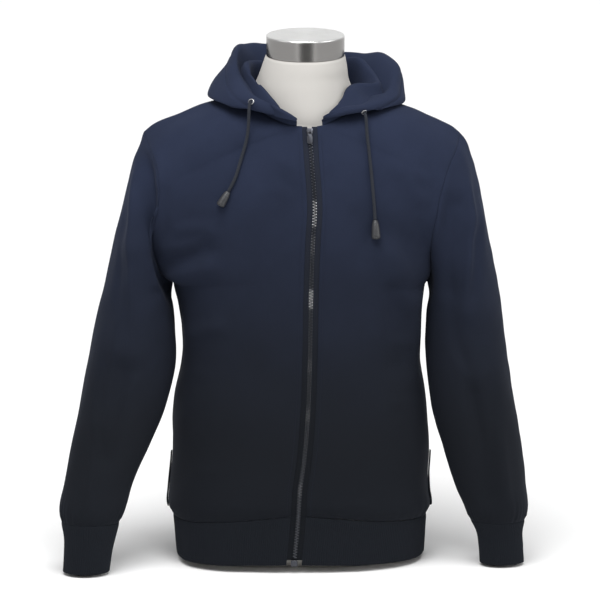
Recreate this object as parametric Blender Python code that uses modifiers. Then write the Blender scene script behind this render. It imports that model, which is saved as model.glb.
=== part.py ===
"""A navy zip-up hoodie worn by a limbless dress form, at its real size, a man's size L.

Metres, +Z up. The wearer faces -Y and the wearer's left is +X. The origin is the middle of the form's flat
underside. Every cloth piece is a closed wall: its outer points come from a few section tables, all pieces
share their points at the seams, and each wall then draws back a little from its seams.
"""

import math

import bmesh
import bpy
import numpy as np
from mathutils import Vector

# Cloth
FLEECE = 0.0022
RIB = 0.0026
SEAM_GAP = 0.0003
RIGHT, LEFT = -1, 1

# Heights of the body's seams, at the zip or the middle of the back, and at the side seam
HEM_SEAM_FRONT, HEM_SEAM_BACK, HEM_SEAM_SIDE = 0.087, 0.084, 0.068
HEM_EDGE_MIDDLE, HEM_EDGE_SIDE = 0.0125, 0.0080
UNDERARM_LEVEL_MIDDLE = 0.440
NECK_POINT_HEIGHT = 0.6635
NAPE_HEIGHT = 0.693
SIDE_SEAM_Y = 0.004

BAND_FRONT, BAND_BACK, BAND_HALF = 0.1325, 0.1260, 0.1870

# Zip: the fronts' edges lie this far from its middle line, and the tapes between them
ZIP_HALF = 0.0110
TAPE_OUTER, TAPE_INNER = 0.0105, 0.0033
TAPE_RECESS, TAPE_THICK = 0.0004, 0.0011
CHAIN_HALF, CHAIN_PROUD, CHAIN_SUNK, CHAIN_BEVEL = 0.0030, 0.0009, 0.0017, 0.0007
CHAIN_FOOT, CHAIN_TOP = 0.0207, 0.6485
SLIDER_HEIGHT = 0.6550
SLIDER_FACE = 0.0024
BAIL_TOP, BAIL_HALF, BAIL_WIRE, BAIL_WIDTH = 0.0056, 0.0021, 0.0010, 0.0020
BAIL_SHOULDER, BAIL_SUNK = 0.0012, 0.0006
PULL_AXIS = 0.00375
PULL_LENGTH, PULL_HALF, PULL_THICK = 0.0190, 0.0040, 0.0012
PULL_BAR, PULL_SLOT_HALF, PULL_SLOT_END = 0.00065, 0.0016, 0.0036
PULL_CORNER, PULL_WAIST_HALF, PULL_WAIST_END, PULL_WIDE_FROM = 0.0022, 0.0032, 0.0060, 0.0090
BOX_SIZE, BOX_HEIGHT, BOX_BEVEL = (0.0100, 0.0037, 0.0090), 0.0158, 0.0006

# Neck axis, and the form's neck and cap
NECK_X, NECK_Y = 0.008, -0.008
NECK_TOP, NECK_TILT = 0.7588, math.radians(5.5)
CAP_RADIUS, CAP_HEIGHT, CAP_BEVEL = 0.0580, 0.0310, 0.0015
PIECE_GAP = 0.0003
FORM_SEAT_GAP = 0.0013
FORM_NECK_GAP = 0.0045
FORM_BEHIND_ZIP, HOLLOW_BEHIND_ZIP_HALF = 0.0045, 0.03
ARMHOLE_PLATE_BULGE, ARMHOLE_PLATE_RINGS = 0.014, (0.72, 0.38)

# How far the middles of the upper rows of a panel rise, and where along the sleeve the armhole's form is gone
CHEST_LIFT, ARMHOLE_FADE = 0.010, 0.30

# Points in each direction of the lofts
ACROSS = 9
HEM_STEPS = (0.0, 0.035, 0.075, 0.15, 0.27, 0.41, 0.55, 0.69, 0.84, 1.0)
ROWS_TO_NECK, ROWS_ON_NECK = 8, 8
ROWS_TO_NAPE, ROWS_ON_NAPE = 8, 8
SLEEVE_STEPS = (
    0.0, 0.045, 0.095, 0.16, 0.23, 0.31, 0.38, 0.45, 0.52, 0.59, 0.66, 0.74, 0.82, 0.89, 0.945, 0.985, 1.0
)
CUFF_STEPS = (0.0, 0.16, 0.58, 1.0)
BAND_STEPS = (0.0, 0.35, 0.7, 1.0)
# Rows of the hood from the seam to the stand's top, into the pocket, to the belly, to the roll and to the edge
HOOD_ROWS = (3, 4, 4, 4, 3)


def table(names, rows):
    """The named columns of a table, each as an array."""
    return dict(zip(names.split(), np.array(rows, float).T))


# Torso sections: half widths to the side seams, depths from the middle to the front and the back, and how
# square each side of the section is. The cloth blouses over the hem band at the foot of the table.
BODY = table(
    "height right left front back square_right square_left",
    [
        (0.060, 0.1895, 0.1895, 0.1335, 0.1270, 3.0, 2.4),
        (0.070, 0.1915, 0.1915, 0.1340, 0.1280, 3.0, 2.4),
        (0.080, 0.1970, 0.1965, 0.1345, 0.1285, 2.9, 2.4),
        (0.090, 0.1985, 0.1970, 0.1375, 0.1310, 2.8, 2.4),
        (0.100, 0.1975, 0.1950, 0.1415, 0.1340, 2.7, 2.4),
        (0.120, 0.1960, 0.1930, 0.1425, 0.1340, 2.7, 2.4),
        (0.160, 0.1935, 0.1945, 0.1415, 0.1290, 2.6, 2.4),
        (0.220, 0.1925, 0.1925, 0.1380, 0.1210, 2.5, 2.4),
        (0.250, 0.1890, 0.1900, 0.1360, 0.1170, 2.5, 2.4),
        (0.300, 0.1790, 0.1810, 0.1320, 0.1100, 2.4, 2.4),
        (0.350, 0.1785, 0.1820, 0.1300, 0.1080, 2.4, 2.4),
        (0.390, 0.1840, 0.1845, 0.1290, 0.1120, 2.4, 2.4),
        (0.420, 0.1900, 0.1890, 0.1295, 0.1160, 2.4, 2.4),
        (0.480, 0.1960, 0.1960, 0.1300, 0.1240, 2.4, 2.4),
        (0.540, 0.2000, 0.2000, 0.1280, 0.1275, 2.4, 2.4),
        (0.600, 0.2000, 0.2000, 0.1190, 0.1215, 2.4, 2.4),
        (0.640, 0.2000, 0.2000, 0.1075, 0.1070, 2.4, 2.4),
        (0.6635, 0.2000, 0.2000, 0.0980, 0.0960, 2.4, 2.4),
        (0.693, 0.2000, 0.2000, 0.0800, 0.0780, 2.4, 2.4),
    ],
)
# The zip wanders a little to each side as it hangs
ZIP_LINE = table(
    "height x",
    [
        (0.010, -0.0092), (0.086, -0.0024), (0.132, 0.0004), (0.159, 0.0044), (0.239, 0.0116),
        (0.321, 0.0146), (0.410, 0.0161), (0.500, 0.0192), (0.546, 0.0217), (0.573, 0.0205),
        (0.608, 0.0176), (0.664, 0.0138),
    ],
)
# Neckline seam about the neck's axis; turn is 0 at the front and 180 at the nape
NECKLINE = table(
    "turn radius height",
    [
        (0, 0.0900, 0.6635), (15, 0.0905, 0.6655), (30, 0.0890, 0.6720), (45, 0.0880, 0.6810),
        (60, 0.0870, 0.6900), (75, 0.0870, 0.6985), (90, 0.0870, 0.7045), (110, 0.0850, 0.7030),
        (130, 0.0835, 0.7000), (150, 0.0835, 0.6960), (180, 0.0860, 0.6930),
    ],
)
ARMHOLE_COLUMNS = "x y height"
ARMHOLE_FRONT = {
    RIGHT: table(
        ARMHOLE_COLUMNS,
        [
            (-0.1900, 0.004, 0.420), (-0.2060, -0.040, 0.437), (-0.2165, -0.070, 0.477),
            (-0.2135, -0.086, 0.517), (-0.2087, -0.088, 0.553), (-0.2100, -0.077, 0.5885),
            (-0.2205, -0.044, 0.621), (-0.2340, 0.000, 0.645),
        ],
    ),
    LEFT: table(
        ARMHOLE_COLUMNS,
        [
            (0.1890, 0.004, 0.418), (0.1945, -0.042, 0.440), (0.1935, -0.070, 0.4765),
            (0.2000, -0.087, 0.523), (0.2060, -0.087, 0.560), (0.2175, -0.073, 0.5955),
            (0.2295, -0.040, 0.622), (0.2385, 0.000, 0.6425),
        ],
    ),
}
ARMHOLE_BACK = {
    side: table(
        ARMHOLE_COLUMNS,
        [
            (side * abs(ARMHOLE_FRONT[side]["x"][0]), SIDE_SEAM_Y, ARMHOLE_FRONT[side]["height"][0]),
            (side * 0.2020, 0.045, 0.437), (side * 0.2060, 0.076, 0.477), (side * 0.2050, 0.094, 0.520),
            (side * 0.2060, 0.093, 0.565), (side * 0.2115, 0.074, 0.600), (side * 0.2220, 0.040, 0.628),
            (ARMHOLE_FRONT[side]["x"][-1], 0.000, ARMHOLE_FRONT[side]["height"][-1]),
        ],
    )
    for side in (RIGHT, LEFT)
}
# Sleeve sections: the outer and the inner line as the front view shows them, and the middle and half depth
SLEEVE_COLUMNS = "along outer_x outer_z inner_x inner_z middle_y half_y"
SLEEVE = {
    RIGHT: table(
        SLEEVE_COLUMNS,
        [
            (0.000, -0.2340, 0.6450, -0.1900, 0.4200, 0.0030, 0.0880),
            (0.060, -0.2405, 0.6190, -0.1925, 0.4080, 0.0000, 0.0850),
            (0.140, -0.2520, 0.5840, -0.1930, 0.3970, -0.0040, 0.0810),
            (0.260, -0.2675, 0.5230, -0.1890, 0.3780, -0.0120, 0.0760),
            (0.380, -0.2845, 0.4550, -0.1855, 0.3500, -0.0220, 0.0720),
            (0.500, -0.2995, 0.3900, -0.1840, 0.3220, -0.0330, 0.0690),
            (0.620, -0.3140, 0.3250, -0.1875, 0.2870, -0.0460, 0.0660),
            (0.740, -0.3258, 0.2620, -0.2010, 0.2370, -0.0630, 0.0610),
            (0.850, -0.3380, 0.1950, -0.2235, 0.1850, -0.0850, 0.0540),
            (0.940, -0.3500, 0.1300, -0.2505, 0.1280, -0.1090, 0.0470),
            (0.985, -0.3558, 0.0920, -0.2610, 0.0910, -0.1235, 0.0450),
            (1.000, -0.3535, 0.0785, -0.2675, 0.0785, -0.1270, 0.0410),
        ],
    ),
    LEFT: table(
        SLEEVE_COLUMNS,
        [
            (0.000, 0.2385, 0.6425, 0.1890, 0.4180, 0.0030, 0.0880),
            (0.060, 0.2490, 0.6220, 0.1915, 0.4060, 0.0000, 0.0850),
            (0.140, 0.2615, 0.5840, 0.1915, 0.3960, -0.0030, 0.0810),
            (0.260, 0.2755, 0.5220, 0.1890, 0.3780, -0.0080, 0.0760),
            (0.380, 0.2890, 0.4550, 0.1880, 0.3500, -0.0130, 0.0720),
            (0.500, 0.2995, 0.3900, 0.1875, 0.3180, -0.0200, 0.0700),
            (0.620, 0.3100, 0.3180, 0.1895, 0.2830, -0.0280, 0.0670),
            (0.740, 0.3190, 0.2550, 0.1965, 0.2350, -0.0370, 0.0620),
            (0.850, 0.3285, 0.1950, 0.2110, 0.1860, -0.0470, 0.0550),
            (0.940, 0.3385, 0.1200, 0.2330, 0.1180, -0.0570, 0.0480),
            (0.985, 0.3415, 0.0820, 0.2490, 0.0820, -0.0628, 0.0440),
            (1.000, 0.3375, 0.0690, 0.2540, 0.0690, -0.0645, 0.0405),
        ],
    ),
}
# Cuff sections below the wrist seam: where each side lies, the height, and the middle and half depth
CUFF_COLUMNS = "down outer_x inner_x height middle_y half_y"
CUFF = {
    RIGHT: table(
        CUFF_COLUMNS,
        [
            (0.00, -0.3535, -0.2675, 0.0785, -0.1270, 0.0410),
            (0.16, -0.3510, -0.2708, 0.0660, -0.1290, 0.0375),
            (0.58, -0.3500, -0.2785, 0.0350, -0.1310, 0.0345),
            (1.00, -0.3525, -0.2830, 0.0045, -0.1310, 0.0330),
        ],
    ),
    LEFT: table(
        CUFF_COLUMNS,
        [
            (0.00, 0.3375, 0.2540, 0.0690, -0.0645, 0.0405),
            (0.16, 0.3342, 0.2612, 0.0560, -0.0650, 0.0365),
            (0.58, 0.3341, 0.2665, 0.0290, -0.0655, 0.0335),
            (1.00, 0.3355, 0.2683, 0.0045, -0.0655, 0.0325),
        ],
    ),
}
# Hood sections about the neck's axis. From the neckline the cloth stands up, folds down into a pocket that
# becomes the hanging bag behind, comes round the belly and up over the roll to the hood's open edge.
HOOD_COLUMNS = (
    "turn stand_r stand_z pocket_r pocket_z belly_r belly_z roll_r roll_z edge_r edge_z"
)
HOOD = {
    RIGHT: table(
        HOOD_COLUMNS,
        [
            (8, 0.0905, 0.6668, 0.0910, 0.6680, 0.0916, 0.6692, 0.0922, 0.6704, 0.0928, 0.6716),
            (19, 0.0900, 0.6730, 0.0925, 0.6755, 0.0960, 0.6775, 0.0990, 0.6810, 0.1010, 0.6850),
            (30, 0.0880, 0.6920, 0.0955, 0.6835, 0.1070, 0.6800, 0.1085, 0.6890, 0.1045, 0.6970),
            (43, 0.0830, 0.7055, 0.0960, 0.6920, 0.1165, 0.6860, 0.1150, 0.6980, 0.1045, 0.7045),
            (56, 0.0835, 0.7215, 0.0970, 0.6960, 0.1245, 0.6890, 0.1220, 0.7030, 0.1045, 0.7135),
            (74, 0.0850, 0.7360, 0.1010, 0.7020, 0.1370, 0.6930, 0.1290, 0.7150, 0.1020, 0.7285),
            (92, 0.0865, 0.7430, 0.1080, 0.7030, 0.1450, 0.7000, 0.1310, 0.7290, 0.1020, 0.7485),
            (116, 0.0890, 0.7450, 0.1200, 0.6920, 0.1520, 0.6930, 0.1370, 0.7350, 0.1080, 0.7580),
            (142, 0.0930, 0.7400, 0.1420, 0.6400, 0.1850, 0.6400, 0.1720, 0.7150, 0.1340, 0.7610),
            (160, 0.0960, 0.7370, 0.1510, 0.5850, 0.2060, 0.6000, 0.1910, 0.7000, 0.1400, 0.7600),
            (180, 0.0980, 0.7350, 0.1550, 0.5600, 0.2120, 0.5850, 0.1970, 0.6950, 0.1400, 0.7560),
        ],
    ),
    LEFT: table(
        HOOD_COLUMNS,
        [
            (15, 0.0905, 0.6680, 0.0912, 0.6703, 0.0920, 0.6726, 0.0928, 0.6749, 0.0936, 0.6772),
            (25, 0.0875, 0.6835, 0.0920, 0.6790, 0.0990, 0.6765, 0.1010, 0.6810, 0.0985, 0.6855),
            (34, 0.0820, 0.6910, 0.0905, 0.6850, 0.1060, 0.6800, 0.1080, 0.6860, 0.1010, 0.6910),
            (47, 0.0780, 0.7005, 0.0920, 0.6910, 0.1145, 0.6825, 0.1150, 0.6895, 0.1055, 0.6945),
            (58, 0.0755, 0.7105, 0.0960, 0.6960, 0.1230, 0.6840, 0.1220, 0.6930, 0.1110, 0.6985),
            (68, 0.0800, 0.7160, 0.1010, 0.6985, 0.1300, 0.6850, 0.1290, 0.6965, 0.1160, 0.7025),
            (79, 0.1060, 0.7185, 0.1145, 0.7010, 0.1380, 0.6870, 0.1370, 0.7020, 0.1230, 0.7085),
            (92, 0.1045, 0.7245, 0.1180, 0.7020, 0.1490, 0.6910, 0.1430, 0.7180, 0.1300, 0.7215),
            (108, 0.0985, 0.7370, 0.1250, 0.6990, 0.1540, 0.6930, 0.1480, 0.7360, 0.1330, 0.7360),
            (124, 0.0965, 0.7480, 0.1330, 0.6850, 0.1680, 0.6800, 0.1530, 0.7420, 0.1330, 0.7450),
            (142, 0.0965, 0.7460, 0.1430, 0.6430, 0.1860, 0.6450, 0.1700, 0.7250, 0.1330, 0.7490),
            (160, 0.0970, 0.7400, 0.1510, 0.5870, 0.2060, 0.6010, 0.1900, 0.7050, 0.1360, 0.7530),
            (180, 0.0980, 0.7350, 0.1550, 0.5600, 0.2120, 0.5850, 0.1970, 0.6950, 0.1400, 0.7560),
        ],
    ),
}
# The turns at which the hood's front edges meet the neckline
HOOD_START = {RIGHT: 8.5, LEFT: 16.0}
# Soft folds that the front view shows, and like ones at the back: from one end to the other in that view,
# the half width, and how far the middle stands out, or in where it is negative. face is -1 in front and 1
# behind.
FOLDS = table(
    "face x0 z0 x1 z1 width height",
    [
        (-1, -0.236, 0.600, -0.244, 0.480, 0.024, 0.0065),
        (-1, -0.244, 0.480, -0.250, 0.330, 0.026, 0.0075),
        (-1, -0.212, 0.560, -0.216, 0.420, 0.018, -0.0060),
        (-1, -0.283, 0.330, -0.300, 0.230, 0.024, 0.0070),
        (-1, -0.262, 0.300, -0.286, 0.180, 0.018, -0.0055),
        (-1, 0.240, 0.620, 0.256, 0.520, 0.022, 0.0065),
        (-1, 0.256, 0.520, 0.250, 0.390, 0.024, 0.0075),
        (-1, 0.225, 0.540, 0.224, 0.420, 0.017, -0.0060),
        (-1, 0.283, 0.290, 0.305, 0.100, 0.022, 0.0070),
        (-1, 0.260, 0.260, 0.280, 0.110, 0.017, -0.0055),
        (-1, 0.125, 0.478, 0.165, 0.405, 0.020, 0.0065),
        (-1, 0.165, 0.405, 0.172, 0.290, 0.018, 0.0070),
        (-1, 0.136, 0.420, 0.142, 0.310, 0.016, -0.0045),
        (-1, -0.195, 0.480, -0.135, 0.510, 0.016, 0.0060),
        (-1, -0.188, 0.436, -0.140, 0.455, 0.016, 0.0060),
        (-1, -0.190, 0.458, -0.135, 0.482, 0.013, -0.0050),
        (-1, -0.172, 0.350, -0.120, 0.366, 0.016, 0.0050),
        (-1, 0.150, 0.598, 0.178, 0.560, 0.016, 0.0045),
        (1, 0.242, 0.590, 0.256, 0.430, 0.024, 0.0065),
        (1, -0.240, 0.590, -0.252, 0.430, 0.024, 0.0065),
        (1, 0.285, 0.350, 0.300, 0.230, 0.024, 0.0065),
        (1, -0.288, 0.340, -0.305, 0.220, 0.024, 0.0065),
        (1, -0.185, 0.470, -0.115, 0.545, 0.020, 0.0060),
        (1, 0.190, 0.480, 0.120, 0.550, 0.020, 0.0060),
        (1, -0.090, 0.185, -0.010, 0.165, 0.020, 0.0050),
        (1, 0.030, 0.232, 0.120, 0.208, 0.020, 0.0055),
        (1, -0.150, 0.305, -0.080, 0.290, 0.018, 0.0050),
    ],
)
FOLDS_FADE_IN = (0.015, 0.05)
# The pocket welts lie beside the side seams, on these rows and columns of the fronts' grids
WELT_ROWS, WELT_COLUMNS = (1, 2, 3, 4), {RIGHT: (8.10, 8.60), LEFT: (8.30, 8.80)}
WELT_THICK, WELT_GAP = 0.0016, 0.0004
# The slider from its face: the corners of its plates, and how far out each level of it lies and its size there
SLIDER_PLATE = table(
    "x along",
    [
        (-0.0038, -0.0053), (0.0038, -0.0053), (0.0052, 0.0030),
        (0.0040, 0.0056), (-0.0040, 0.0056), (-0.0052, 0.0030),
    ],
)
SLIDER_LEVELS = table(
    "out size",
    [(-0.0033, 0.88), (-0.0021, 0.88), (-0.0021, 0.52), (0.0003, 0.52), (0.0003, 1.0), (SLIDER_FACE, 0.94)],
)
# The form's neck above the neckline, and its foot below the hem seam
FORM_NECK = table(
    "height radius lean",
    [
        (0.6600, 0.0820, 0.0), (0.6800, 0.0780, -0.0020), (0.7000, 0.0730, -0.0040),
        (0.7150, 0.0695, -0.0042), (0.7270, 0.0665, -0.0035), (0.7400, 0.0640, -0.0018), (0.7600, 0.0588, 0.0),
    ],
)
NECK_STEPS = (0.12, 0.28, 0.45, 0.62, 0.81, 1.0)
FORM_LOW_ROWS = (0, 3, 5, 7)
FORM_FOOT = table(
    "height half_width front back",
    [(0.045, 0.1680, 0.1130, 0.1090), (0.014, 0.1620, 0.1050, 0.1030), (0.0, 0.1500, 0.0900, 0.0900)],
)
# Drawcord: its eyelets on the hood, each a place on the cloth and the way it faces, and the two routes. The
# right cord drops over its eyelet's lower rim, and the left one comes out of an eyelet under the hood's roll.
CORD_RADIUS = 0.0024
EYELET_RADIUS, EYELET_WIRE, EYELET_LIFT = 0.0038, 0.0010, 0.0015
EYELETS = {
    RIGHT: ((-0.0712, -0.0917, 0.6982), (-0.31, -0.80, 0.51)),
    LEFT: ((0.0934, -0.0857, 0.6834), (0.41, -0.62, -0.66)),
}
CORDS = {
    RIGHT: [
        (-0.0729, -0.0959, 0.7003), (-0.0740, -0.0987, 0.6951), (-0.0745, -0.1003, 0.6890),
        (-0.0748, -0.1008, 0.6820), (-0.0750, -0.1004, 0.6740), (-0.0756, -0.1000, 0.6640),
        (-0.0768, -0.0999, 0.6520), (-0.0790, -0.1010, 0.6410), (-0.0821, -0.1030, 0.6300),
        (-0.0851, -0.1051, 0.6200), (-0.0882, -0.1075, 0.6100), (-0.0911, -0.1098, 0.6000),
        (-0.0945, -0.1119, 0.5900), (-0.0992, -0.1138, 0.5800), (-0.1050, -0.1150, 0.5690),
    ],
    LEFT: [
        (0.0938, -0.0862, 0.6829), (0.0955, -0.0888, 0.6800), (0.0966, -0.0915, 0.6755),
        (0.0973, -0.0938, 0.6680), (0.0979, -0.0960, 0.6580), (0.0988, -0.0987, 0.6470),
        (0.1004, -0.1020, 0.6340), (0.1018, -0.1053, 0.6210), (0.1032, -0.1086, 0.6080),
        (0.1046, -0.1115, 0.5950), (0.1058, -0.1141, 0.5820), (0.1069, -0.1165, 0.5700),
        (0.1080, -0.1185, 0.5570), (0.1090, -0.1198, 0.5440), (0.1096, -0.1206, 0.5335),
        (0.1100, -0.1211, 0.5278),
    ],
}
CORD_POINTS = 17
# The bell-shaped tips: points along the middle of each, and the radius there
TIPS = {
    RIGHT: table(
        "x y z radius",
        [
            (-0.1053, -0.1151, 0.5685, 0.0034), (-0.1066, -0.1157, 0.5662, 0.0042), (-0.1092, -0.1170, 0.5617, 0.0053),
            (-0.1135, -0.1189, 0.5545, 0.0061), (-0.1163, -0.1199, 0.5498, 0.0060), (-0.1171, -0.1202, 0.5485, 0.0052),
        ],
    ),
    LEFT: table(
        "x y z radius",
        [
            (0.1101, -0.1213, 0.5273, 0.0034), (0.1103, -0.1220, 0.5247, 0.0042), (0.1106, -0.1237, 0.5190, 0.0054),
            (0.1111, -0.1265, 0.5095, 0.0062), (0.1114, -0.1279, 0.5025, 0.0061), (0.1115, -0.1283, 0.5010, 0.0052),
        ],
    ),
}
# How far the form keeps from the cloth's inside
FORM_ROOM = table(
    "height room",
    [
        (0.060, 0.010), (0.110, 0.016), (0.200, 0.010), (0.300, 0.007), (0.450, 0.006), (0.580, 0.003),
        (0.640, 0.0), (0.720, 0.0),
    ],
)


def through(at, knots, values):
    """A smooth curve through (knots, values), whose slope at a knot is the mean of the slopes beside it."""
    at = np.clip(np.asarray(at, float), knots[0], knots[-1])
    knots, values = np.asarray(knots, float), np.asarray(values, float)
    slopes = np.gradient(values, knots, axis=0)
    i = np.clip(np.searchsorted(knots, at) - 1, 0, len(knots) - 2)
    step = knots[i + 1] - knots[i]
    t = (at - knots[i]) / step
    if values.ndim > 1:
        step, t = step[..., None], t[..., None]
    ends = values[i] * (1 + 2 * t) * (1 - t) ** 2 + values[i + 1] * (3 - 2 * t) * t**2
    return ends + step * (slopes[i] * t * (1 - t) ** 2 - slopes[i + 1] * (1 - t) * t**2)


def lengths(curve, power=1.0):
    """How far along the curve each of its points lies, as a share of its length. A power of a half keeps a
    curve through uneven knots from swinging out."""
    steps = np.linalg.norm(np.diff(curve, axis=0), axis=1) ** power
    along = np.concatenate([[0.0], np.cumsum(steps)])
    return along / along[-1]


def even(curve, count):
    """That many points, evenly spaced along a finely sampled curve."""
    share = lengths(curve)
    return np.stack([np.interp(np.linspace(0, 1, count), share, axis) for axis in curve.T], axis=1)


def smooth_step(x, start, end):
    """0 before start and 1 after end, with a soft rise between."""
    t = np.clip((np.asarray(x, float) - start) / (end - start), 0, 1)
    return t * t * (3 - 2 * t)


def body(column, height):
    return through(height, BODY["height"], BODY[column])


def zip_x(height):
    return through(height, ZIP_LINE["height"], ZIP_LINE["x"])


def armhole(parts, share):
    """Points of an armhole half from the underarm, 0, to the shoulder tip, 1."""
    knots = np.stack([parts["x"], parts["y"], parts["height"]], axis=1)
    return through(share, lengths(knots), knots)


def neckline(side, turn):
    """Points of the neckline seam at these turns, in degrees."""
    radius = through(turn, NECKLINE["turn"], NECKLINE["radius"])
    angle = np.radians(turn)
    x = NECK_X + side * radius * np.sin(angle)
    y = NECK_Y - radius * np.cos(angle)
    return np.stack([x, y, through(turn, NECKLINE["turn"], NECKLINE["height"])], axis=-1)


def across(inner, outer, power, finish, lift):
    """A row from a panel's inner edge to its outer one. It leaves the inner edge level and turns back towards
    the outer one as the curve (1 - s^power)^(1/finish) does, and lift raises its middle."""
    s = np.linspace(0, 1, 97)
    curve = inner + (outer - inner) * s[:, None]
    curve[:, 1] = outer[1] + (inner[1] - outer[1]) * (1 - s**power) ** (1 / finish)
    curve[:, 2] += lift * np.sin(np.pi * s)
    return even(curve, ACROSS + 1)


def panel(inner, outer, squares, share):
    """The rows of a half panel. share is 0 to the underarm and then runs to 1 at the shoulder, where rows lie
    flat."""
    rows = []
    for a, b, square, up in zip(inner, outer, squares, share):
        finish = 1 + (square - 1) * (1 - smooth_step(up, 0.0, 0.35))
        lift = CHEST_LIFT * smooth_step(up, 0.35, 0.8) * (1 - smooth_step(up, 0.8, 1.0))
        rows.append(across(a, b, square + (2.0 - square) * smooth_step(up, 0.8, 1.0), finish, lift))
    return np.array(rows)


def side_edge(side, steps):
    height = HEM_SEAM_SIDE + (ARMHOLE_FRONT[side]["height"][0] - HEM_SEAM_SIDE) * steps
    half = body("right" if side == RIGHT else "left", height)
    half[-1] = abs(ARMHOLE_FRONT[side]["x"][0])
    return np.stack([side * half, np.full_like(half, SIDE_SEAM_Y), height], axis=1)


def front_edge(side, height):
    """Points of a front's zip edge at these heights."""
    return np.stack([zip_x(height) + side * ZIP_HALF, -body("front", height), height], axis=-1)


def neck_start(side):
    """The turn at which the neckline meets the zip edge."""
    corner = front_edge(side, np.float64(NECK_POINT_HEIGHT))
    return math.degrees(math.atan2(side * (corner[0] - NECK_X), NECK_Y - corner[1]))


def front_neckline(side):
    """The front neckline from the zip edge, whose corner it meets exactly, to the shoulder."""
    turns = np.concatenate([[neck_start(side)], np.linspace(HOOD_START[side], 90, ROWS_ON_NECK)])
    points = neckline(side, turns)
    corner = front_edge(side, np.float64(NECK_POINT_HEIGHT))
    return points + (corner - points[0]) * (1 - smooth_step(turns, turns[0], turns[0] + 20))[:, None]


def front_grid(side):
    """A front's points, a row at each height from the hem seam to the shoulder seam."""
    steps = np.array(HEM_STEPS)
    low = HEM_SEAM_FRONT + (UNDERARM_LEVEL_MIDDLE - HEM_SEAM_FRONT) * steps
    high = np.linspace(UNDERARM_LEVEL_MIDDLE, NECK_POINT_HEIGHT, ROWS_TO_NECK + 1)
    upper = np.concatenate([front_edge(side, high), front_neckline(side)[1:]])
    share = lengths(upper)
    inner = np.concatenate([front_edge(side, low), upper[1:]])
    outer = np.concatenate([side_edge(side, steps), armhole(ARMHOLE_FRONT[side], share)[1:]])
    square = body("square_right" if side == RIGHT else "square_left", inner[:, 2])
    return panel(inner, outer, square, np.concatenate([np.zeros(len(steps)), share[1:]]))


def back_middle(height):
    x = NECK_X * smooth_step(height, 0.40, NAPE_HEIGHT)
    return np.stack([x, body("back", height), height], axis=-1)


def back_grid(side):
    """Half of the back, from its middle to the side, a row at each height as in the fronts."""
    steps = np.array(HEM_STEPS)
    low = HEM_SEAM_BACK + (UNDERARM_LEVEL_MIDDLE - HEM_SEAM_BACK) * steps
    high = np.linspace(UNDERARM_LEVEL_MIDDLE, NAPE_HEIGHT, ROWS_TO_NAPE + 1)
    round_neck = neckline(side, np.linspace(180, 90, ROWS_ON_NAPE + 1))
    upper = np.concatenate([back_middle(high), round_neck[1:]])
    share = lengths(upper)
    inner = np.concatenate([back_middle(low), upper[1:]])
    outer = np.concatenate([side_edge(side, steps), armhole(ARMHOLE_BACK[side], share)[1:]])
    square = body("square_right" if side == RIGHT else "square_left", inner[:, 2])
    return panel(inner, outer, square, np.concatenate([np.zeros(len(steps)), share[1:]]))


def ring(middle, reach, half_y, turns):
    """A loop from the inner side by the front to the outer side and back: turn 0 is inner and 180 outer."""
    angle = np.radians(turns)[:, None]
    return middle - reach * np.cos(angle) - np.array([0, half_y, 0]) * np.sin(angle)


def sleeve_rings(side, armhole_loop, turns):
    """Rings from the armhole to the wrist. The armhole's own form fades out down the sleeve's first part."""
    parts = SLEEVE[side]
    rings = []
    for along in SLEEVE_STEPS:
        at = {name: float(through(along, parts["along"], parts[name])) for name in parts}
        outer = np.array([at["outer_x"], at["middle_y"], at["outer_z"]])
        inner = np.array([at["inner_x"], at["middle_y"], at["inner_z"]])
        rings.append(ring((outer + inner) / 2, (outer - inner) / 2, at["half_y"], turns))
    rings = np.array(rings)
    fade = 1 - smooth_step(np.array(SLEEVE_STEPS), 0.0, ARMHOLE_FADE)
    return rings + (armhole_loop - rings[0]) * fade[:, None, None]


def cuff_rings(side, wrist, turns):
    parts = CUFF[side]
    rings = []
    for down in CUFF_STEPS:
        at = {name: float(through(down, parts["down"], parts[name])) for name in parts}
        middle = np.array([(at["outer_x"] + at["inner_x"]) / 2, at["middle_y"], at["height"]])
        reach = np.array([(at["outer_x"] - at["inner_x"]) / 2, 0, 0])
        rings.append(ring(middle, reach, at["half_y"], turns))
    rings = np.array(rings)
    rings[0] = wrist
    return rings


def band_grid(seam_row, side, front):
    """A quarter of the hem band, from the hem seam's own points down to its edge."""
    middle_x = zip_x(HEM_EDGE_MIDDLE) + side * ZIP_HALF if front else 0.0
    depth = -BAND_FRONT if front else BAND_BACK
    square = body("square_right" if side == RIGHT else "square_left", HEM_SEAM_FRONT)
    inner = np.array([middle_x, depth, HEM_EDGE_MIDDLE])
    outer = np.array([side * BAND_HALF, SIDE_SEAM_Y, HEM_EDGE_SIDE])
    edge = across(inner, outer, square, square, 0.0)
    rows = seam_row + (edge - seam_row) * np.array(BAND_STEPS)[:, None, None]
    if front:
        rows[:, 0, 0] = zip_x(rows[:, 0, 2]) + side * ZIP_HALF
    return rows


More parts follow.
